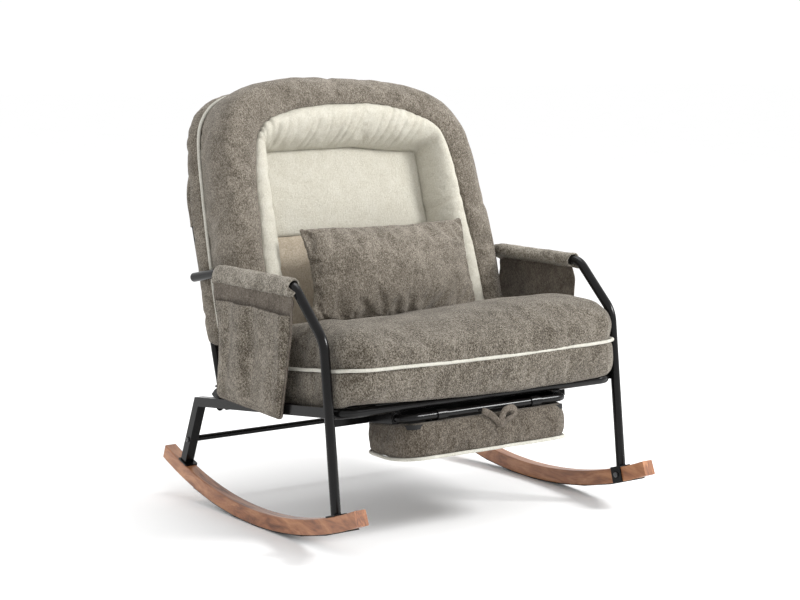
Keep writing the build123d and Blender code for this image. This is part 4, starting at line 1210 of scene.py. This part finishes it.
def seat_sag(ob):
    """the lower edge hangs over the front tube, most in the middle, and settles on the side tubes"""
    co = coords(ob)
    x, y, z = co[:, 0] * 1000, co[:, 1] * 1000, co[:, 2] * 1000
    h = (z - z_bottom(y)) / 66.0
    front = sm(-256, -288, y) * np.interp(x, [-330, -290, -240, -187, -135, -56, 22, 74, 126, 178, 217, 283, 335],
                                          [-3, -3, 0, 3, 5, 8, 9, 11, 9, 8.5, 8.5, 6, 3])
    side = 5.0 * sm(318, 338, np.abs(x)) * sm(-296, -250, y)
    co[:, 2] -= (front + side) * (1 - sm(0.05, 0.8, h)) * 0.001
    # over the piping the ends draw in to a rounder shoulder
    pull = np.interp(h, [1.0, 1.08, 1.3, 1.5, 1.75, 2.0], [0, 7, 12, 10, 7, 3]) * sm(290, 340, np.abs(x))
    co[:, 0] -= np.sign(x) * pull * 0.001
    put(ob, co)


seat_sag(seat_ob)
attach(seat_ob, "base")
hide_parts("seat_cushion")

q = resample(np.vstack([seatO + seatN * 1.2]), 6.0, closed=True)
zp = z_piping(q[:, 0], q[:, 1])
path = np.stack([q[:, 0], q[:, 1], zp], 1) * 0.001
path[:, 2] += noise(path * 1000 / 70.0 + 9) * 0.0013
pip_seat = tube("seat_piping", path, 0.0037, piping_mat, closed=True, sides=10, fuzz=0.10, seed=5)
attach(pip_seat, "base")

# ---------------------------------------------------------------------------
# arm sleeves, side panels, patch pockets
# ---------------------------------------------------------------------------
def arm_path(y0, y1, step=5.0):
    y = np.arange(y0, y1 + 0.1, step)
    z = np.full(len(y), 510.4)
    k = (487.2 - 510.4) / (248.0 - 126.4)
    z = np.where(y > 126.4, 510.4 + (y - 126.4) * k, z)
    z = np.where(y < -144.8 + 8, z - (np.maximum(-144.8 + 8 - y, 0)) ** 1.0 * 0.45, z)
    return y, z


def arm_fabric(side, y_front):
    sx = -1 if side == "left" else 1
    X0 = 367.5
    obs = []
    # sleeve round the tube
    y, z = arm_path(y_front, 147.0)
    n = len(y)
    m = 96
    th = np.arange(m) * 2 * pi / m
    deg = np.degrees(th)
    deg = np.where(deg > 180, deg - 360, deg)
    lobe = np.interp(deg, [-100, -90, -79, -70, -62, -55.5, -50.5, -46.5, -42.5, -37, -30, -21, -11, 0, 15, 35],
                     [14.6, 14.8, 15.8, 17.8, 21.2, 24.8, 26.0, 25.8, 24.9, 23.4, 21.3, 18.9, 17.0, 15.8, 14.9, 14.6])
    rows = []
    for k in range(n):
        t = k / (n - 1)
        flare = 1.0 + 0.05 * (1 - sm(0, 10, y[k] - y[0])) + 0.05 * (1 - sm(0, 10, y[-1] - y[k]))
        wav = 1.0 + 0.05 * sin(0.105 * y[k] + 1.0) + 0.035 * sin(0.23 * y[k])
        r = (14.6 + (lobe - 14.6) * wav) * flare
        # fabric droops slightly to the outer side where the panel is sewn on
        xx = X0 + r * np.cos(th) * 1.02
        zz = z[k] + r * np.sin(th)
        yy = (y[k] + (3.5 * np.sin(th) + 2.0 * np.cos(th)) * (1 - sm(0, 30, y[k] - y[0])) * -1
              - 24.0 * np.clip((lobe - 15.5) / 10.5, 0, 1) * (1 - sm(0, 90, y[k] - y[0])))
        rows.append(np.stack([sx * xx, yy, zz], 1))
    outer = np.array(rows) * 0.001
    inner = outer.copy()
    cx = np.array([sx * X0 * 0.001, 0, 0])
    for k in range(n):
        c = np.array([sx * X0, y[k], z[k]]) * 0.001
        c = np.broadcast_to(c, outer[k].shape).copy()
        c[:, 1] = outer[k][:, 1]
        v = outer[k] - c
        L = np.linalg.norm(v, axis=1)[:, None]
        inner[k] = c + v / L * np.minimum(L - 0.0028, 0.0118)
    rows = np.vstack([inner[::-1], outer])
    V, F = loft(rows, close_n=True, close_m=True)
    sl = make("arm_sleeve_cover_" + side, V, F, sleeve_painted_light_taupe)
    fix_normals(sl)
    rumple(sl, [(0.9, 40, 61 + sx), (0.5, 16, 63)],
           mask=lambda c: sm(13.2, 14.2, np.hypot(np.abs(c[:, 0]) * 1000 - X0, c[:, 2] * 1000 - np.interp(c[:, 1] * 1000, y, z))))
    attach(sl, "base")
    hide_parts("arm_sleeve_" + side)

    # hanging panel
    front = spline(np.array([(-148, 507), (-158, 494), (-166.5, 474), (-165, 445), (-161, 406), (-146, 332), (-127.5, 256)], float), 12)
    rear = spline(np.array([(147, 497), (134, 455), (121, 411), (119, 370), (120, 330), (128, 285), (131, 260)], float), 12)
    if side == "right":          # hung further back on its tube
        front = front + np.array([56.0, 0])
        rear = spline(np.array([(147, 497), (152, 470), (158, 440), (159, 411), (157, 370), (152, 330), (146, 285), (143, 260)], float), 12)
    zt, zb_f, zb_r = 498.0, 240.5, 250.5
    na, nb = 76, 64
    a = np.linspace(0, 1, na)
    b = np.linspace(0, 1, nb)
    Am, Bm = np.meshgrid(a, b, indexing="ij")

    def edge(E, z):
        return np.interp(z, E[::-1, 1], E[::-1, 0])
    corner_mm = np.minimum(Am * 280, (1 - Am) * 280)
    zbot = zb_f + (zb_r - zb_f) * Am + 8.0 * (1 - np.clip(corner_mm / 16.0, 0, 1)) ** 2
    Z = 507.0 + (zbot - 507.0) * Bm
    yf, yr = edge(front, Z), edge(rear, Z)
    Y = yf + (yr - yf) * Am
    # corner_round is not used and returns Z unchanged; the lower corners are lifted in zbot above
    def corner_round(Y, Z):
        return Z
    sgn = 1.0 if side == "left" else -1.0
    ph = 0.0 if side == "left" else 1.7

    def folds(Y, Z, amp):
        t = np.clip((494 - Z) / 250.0, 0, 1)
        q = Y + 9.0 * np.sin(Z / 62.0 + ph) + 4.0 * np.sin(Z / 27.0 + 1.0)
        w = (np.sin(q / 13.5 + 0.9 * t + ph) * 0.55 + np.sin(q / 24.0 - 1.1 * t + 1.3 + ph) * 0.8
             + np.sin(q / 7.5 + 2.0 + ph) * 0.22)
        return amp * w * (0.35 + 0.65 * np.sin(np.clip(t, 0, 1) * pi * 0.8 + 0.3))
    Xp = 384.2 + 0.8 * folds(Y, Z, 1.2) * sm(484, 462, Z) - 3.4 * sm(462, 482, Z)
    P = np.stack([sx * Xp, Y, Z], -1) * 0.001

    def slab(name, P, thick, mat):
        n, m = P.shape[:2]
        Q = P.copy()
        Q[..., 0] += sx * thick * 0.001
        V = np.vstack([P.reshape(-1, 3), Q.reshape(-1, 3)])
        F = grid_faces(n, m) + [f[::-1] for f in grid_faces(n, m, base=n * m)]
        o = n * m
        for i in range(n - 1):
            for j in (0, m - 1):
                a0, b0 = i * m + j, (i + 1) * m + j
                F.append((a0, b0, b0 + o, a0 + o))
        for j in range(m - 1):
            for i in (0, n - 1):
                a0, b0 = i * m + j, i * m + j + 1
                F.append((a0, b0, b0 + o, a0 + o))
        ob = make(name, V, F, mat)
        fix_normals(ob)
        return ob

    # the arm panels use the darker taupe copy as painted shade
    pn = slab("arm_panel_cover_" + side, P, 2.4, darker_painted_shade_taupe)
    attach(pn, "base")
    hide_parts("arm_panel_" + side)

    # patch pocket: sewn on three sides, its mouth open at the top
    zo_f, zo_r = 455.0, 455.0
    Zo = zo_f + (zo_r - zo_f) * Am + 4.5 * np.sin(Am * pi) * sm(0, 0.5, Am) - 2.5 * np.sin(pi * Am) * (1 - Am)
    zb2 = zbot + 3.0
    Z2 = Zo + (zb2 - Zo) * Bm
    yf2, yr2 = edge(front, Z2) + 5.0, edge(rear, Z2) - 7.0
    Y2 = yf2 + (yr2 - yf2) * Am
    bx = np.clip(np.minimum(Am, 1 - Am) * 280 / 34.0, 0, 1)
    bz = np.clip((1 - Bm) * 205 / 42.0, 0, 1)
    bul = np.sqrt(1 - (1 - bx) ** 2) * np.sqrt(1 - (1 - bz) ** 2)
    fo = folds(Y2, Z2, 1.0)
    full = 1.0 if side == "left" else 0.5
    X2 = 387.2 + full * (8.5 * bul + np.where(fo > 0, 7.8, 5.6) * fo * np.minimum(bx, bz) ** 0.5)
    P2 = np.stack([sx * X2, Y2, Z2], -1) * 0.001
    pk = slab("arm_pocket_cover_" + side, P2, 2.4, taupe_flat)
    rumple(pk, [(1.0, (60, 30, 80), 71 + sx), (0.4, 14, 73)],
           mask=lambda c: sm(389.5, 392, np.abs(c[:, 0]) * 1000))
    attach(pk, "base")
    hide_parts("arm_pocket_" + side)

    # two rows of topstitching down the sides and along the bottom, one along the hem of the mouth
    face = P2.copy()
    face[..., 0] += sx * 0.0026

    def inset(mm):
        """lines in the pocket's own grid, mm in from its edges"""
        ia, ib = mm / 280.0 * (na - 1), mm / 205.0 * (nb - 1)
        g = []
        for bq in np.linspace(1.0, nb - 1 - ib, 90):
            g.append((ia, bq))
        for aq in np.linspace(ia, na - 1 - ia, 110):
            g.append((aq, nb - 1 - ib))
        for bq in np.linspace(nb - 1 - ib, 1.0, 90):
            g.append((na - 1 - ia, bq))
        return g

    def at(aq, bq):
        i, j = min(int(aq), na - 2), min(int(bq), nb - 2)
        u, w2 = aq - i, bq - j
        return ((1 - u) * (1 - w2) * face[i, j] + u * (1 - w2) * face[i + 1, j]
                + (1 - u) * w2 * face[i, j + 1] + u * w2 * face[i + 1, j + 1])
    for k, mm in enumerate((5.0, 10.0)):
        stitches("pocket_stitch_%s_%d" % (side, k), [at(*g) for g in inset(mm)], (sx, 0, 0), mt_thread, "base")
    ib = 11.0 / 205.0 * (nb - 1)
    stitches("pocket_hem_stitch_" + side, [at(aq, ib) for aq in np.linspace(1, na - 2, 110)], (sx, 0, 0), mt_thread,
             "base")
    return sl, pn, pk


arm_fabric("left", -141.0)
arm_fabric("right", -123.0)

# ---------------------------------------------------------------------------
# footrest pad, its piping and the pull loop
# ---------------------------------------------------------------------------
BL, BW = -15.4, -23.9
PL0, PL1 = BL - 13.0, BL + 147.0
FW1, FW0 = BW - 14.0, BW - 83.5
PH = 210.5


def pad_outline(step=6.0):
    Rf, Rr2 = 52.0, 34.0
    P = []
    for cx, cy, r, a0 in ((-PH + Rr2, PL1 - Rr2, Rr2, pi / 2), (-PH + Rf, PL0 + Rf, Rf, pi),
                          (PH - Rf, PL0 + Rf, Rf, 1.5 * pi), (PH - Rr2, PL1 - Rr2, Rr2, 2 * pi)):
        for a in np.linspace(a0, a0 + pi / 2, 14):
            P.append((cx + r * cos(a), cy + r * sin(a)))
    return resample(np.array(P), step, closed=True)


def pf(x, l, w):
    """the pad is a little thinner towards its free edge"""
    w = w + 9.0 * sm(PL0 + 60, PL1, l) * np.clip((FW0 + 70.0 - w) / 70.0, 0, 1)
    return se(x, l, w)


padO = pad_outline()
pad_prof = [(-3.5, FW0 + 1.5), (-0.5, FW0 + 6), (1.2, FW0 + 16), (2.0, FW0 + 30), (1.6, FW0 + 46), (0.4, FW0 + 58),
            (-1.0, FW0 + 66), (-3.0, FW0 + 70.0), (-6.5, FW0 + 72.4), (-12, FW0 + 73.0), (-18, FW0 + 72.6), (-18.5, FW0 + 70.0),
            (-18.5, FW0 + 58.5)]
pad = puck("footrest_cushion_cover", padO, pad_prof, pf, foot_painted_shade_taupe, (0, (PL0 + PL1) / 2),
           rear=lambda r, q: FW0 - 1.5 * (1 - r ** 2) + 1.5 * r ** 6)
if SIM:
    inflate(pad, np.vstack([pf(padO[:, 0], padO[:, 1], FW0 + 2.0), pf(padO[:, 0], padO[:, 1], FW0 + 69.0),
                            pf(padO[:, 0] * 0.97, padO[:, 1], FW0 + 62.0)]),
            voxel=5.5, pressure=4.0, cap=14, pin_r=7, level=0.2,
            keep=lambda c: sm(FW1 - 15.0, FW1 - 8.0, (c[:, 1] * 1000 - SY) * sa + (c[:, 2] * 1000 - SZ) * ca))
rumple(pad, [(1.6, 90, 81), (1.0, 36, 82), (0.5, 16, 83)],
       mask=lambda c: sm(0.0, 0.012, np.abs(((c[:, 1] * 1000 - SY) * sa + (c[:, 2] * 1000 - SZ) * ca) - FW1) * 0.001))
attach(pad, "footrest_cushion")
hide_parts("footrest_pad")

path = pf(padO[:, 0] * 1.0, padO[:, 1], np.full(len(padO), FW0 + 2.2))
path = resample(path, 0.006, closed=True)
path[:, 2] += noise(path * 1000 / 60.0 + 4) * 0.0008
pip_pad = tube("footrest_piping", path, 0.0035, piping_mat, closed=True, sides=10, fuzz=0.10, seed=6)
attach(pip_pad, "footrest_cushion")


def strap_ribbon(name, pts, width_dir, w, t, mat):
    """flat ribbon along a path in metres; width_dir is a function of the station or a vector"""
    P = np.asarray(pts, float)
    n = len(P)
    T = np.gradient(P, axis=0)
    T /= np.linalg.norm(T, axis=1)[:, None]
    Wd = np.broadcast_to(np.asarray(width_dir, float), P.shape)
    Wd = Wd - T * (Wd * T).sum(1)[:, None]
    Wd = Wd / np.linalg.norm(Wd, axis=1)[:, None]
    Nn = np.cross(T, Wd)
    sec = np.array([(-0.5, -0.5), (0.5, -0.5), (0.5, 0.5), (-0.5, 0.5)])
    k = 6
    ring = []
    for a in np.linspace(-0.5, 0.5, k):
        ring.append((a, -0.5 * (1 - 0.35 * (abs(a) * 2) ** 6)))
    for a in np.linspace(0.5, -0.5, k):
        ring.append((a, 0.5 * (1 - 0.35 * (abs(a) * 2) ** 6)))
    ring = np.array(ring)
    ww = np.asarray(w, float) if np.ndim(w) else np.full(n, float(w))
    rows = P[:, None] + Wd[:, None] * (ring[None, :, 0] * ww[:, None])[:, :, None] + Nn[:, None] * (ring[None, :, 1] * t)[:, :, None]
    V, F = loft(rows)
    ob = make(name, V, F, mat)
    fix_normals(ob)
    return ob


# pull loop: a folded band sewn to the pad's upper front edge
def loop():
    def q(x, dz, out):
        return (x * 0.001, (-310.5 - out) * 0.001, (237.5 + dz) * 0.001)
    pts = [q(-26, 11, -4), q(-20, 9, 1.0), q(-8, 2, 2.6), q(4, -9, 3.4), q(14, -19, 3.8), q(22, -20, 4.2), q(32, -12, 4.8),
           q(44, -8, 5.4), q(52, -1, 5.8), q(52, 6, 6.0), q(44, 11, 6.0), q(33, 11, 5.8), q(24, 6, 5.6), q(19, -3, 5.8),
           q(16, -12, 6.2), q(12, -20, 6.4)]
    p = resample(spline(np.array(pts), 10), 0.0025)
    n = len(p)
    d = np.gradient(p, axis=0)
    d /= np.linalg.norm(d, axis=1)[:, None]
    wd = np.cross(d, np.array([0, 1.0, 0]))
    wd = wd * 0.92 + np.array([0, -0.4, 0])
    ob = strap_ribbon("footrest_pull_loop", p, wd, 0.0125, 0.0036, darker_painted_shade_taupe)
    rumple(ob, [(0.5, 12, 91)])
    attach(ob, "footrest_cushion")
    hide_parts("pull_loop")
    return ob


loop()

# ---------------------------------------------------------------------------
# webbing under the seat cushion and behind the back cushion
# ---------------------------------------------------------------------------
straps = []
L0, L1 = 0.0, 425.0
for x in (-240, -120, 0, 120, 240):
    pts = []
    for a in np.linspace(0.70 * pi, 0.5 * pi, 6):
        pts.append((L0 + 11.1 * cos(a), 11.1 * sin(a)))
    for t in np.linspace(0.03, 0.97, 30):
        pts.append((L0 + (L1 - L0) * t, 11.1 - 0.6 * sin(pi * t)))
    for a in np.linspace(0.5 * pi, -0.45 * pi, 14):
        pts.append((L1 + 11.1 * cos(a), 11.1 * sin(a)))
    pts = np.array(pts)
    p = se(np.full(len(pts), float(x)), pts[:, 0], pts[:, 1])
    straps.append(strap_ribbon("s", p, (1, 0, 0), 0.055, 0.0017, mt_web))
ss = join("seat_webbing", straps)
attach(ss, "base")
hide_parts("seat_straps")

straps = []
for s in (170, 240, 310):
    pts = []
    for a in np.linspace(0.80 * pi, 0.5 * pi, 8):
        pts.append((-326 + 10.6 * cos(a), 10.6 * sin(a)))
    for t in np.linspace(0.02, 0.98, 40):
        pts.append((-326 + 652 * t, 10.6 + 0.5 * sin(pi * t)))
    for a in np.linspace(0.5 * pi, 0.20 * pi, 8):
        pts.append((326 + 10.6 * cos(a), 10.6 * sin(a)))
    pts = np.array(pts)
    p = bk(pts[:, 0], np.full(len(pts), float(s)), pts[:, 1])
    straps.append(strap_ribbon("s", p, (0, st, ct), 0.048, 0.0017, mt_web))
bs = join("back_webbing", straps)
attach(bs, "backrest")
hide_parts("back_straps")

# ---------------------------------------------------------------------------
# floor and light
# ---------------------------------------------------------------------------
fm, nt, b = new_mat("floor_white")
v = mapped(nt, (1, 1, 1))
n1 = noise_tex(nt, v, 3, 2, 0.5)
r = ramp(nt, n1, [(0.3, (0.975, 0.975, 0.975, 1)), (0.7, (0.985, 0.985, 0.985, 1))])
nt.links.new(r.outputs["Color"], b.inputs["Base Color"])
b.inputs["Roughness"].default_value = 1.0
b.inputs["Specular IOR Level"].default_value = 0.0
fl = make("floor", [(-30, -30, 0), (30, -30, 0), (30, 30, 0), (-30, 30, 0)], [(0, 1, 2, 3)], fm, smooth=False)

w = bpy.data.worlds.new("studio")
bpy.context.scene.world = w
w.use_nodes = True
bg = w.node_tree.nodes["Background"]
bg.inputs["Color"].default_value = (1.0, 1.0, 1.0, 1)
bg.inputs["Strength"].default_value = 1.02


def area(name, loc, target, size, power, col=(1, 1, 1)):
    d = bpy.data.lights.new(name, 'AREA')
    d.shape = 'SQUARE'
    d.size = size
    d.energy = power
    d.color = col
    o = bpy.data.objects.new(name, d)
    bpy.context.collection.objects.link(o)
    o.location = loc
    v = Vector(target) - Vector(loc)
    o.rotation_euler = v.to_track_quat('-Z', 'Y').to_euler()
    return o


area("key", (2.4, -2.3, 2.5), (0, 0, 0.5), 0.9, 128)
area("top", (0.4, 0.7, 3.1), (0, 0, 0.4), 1.6, 32)
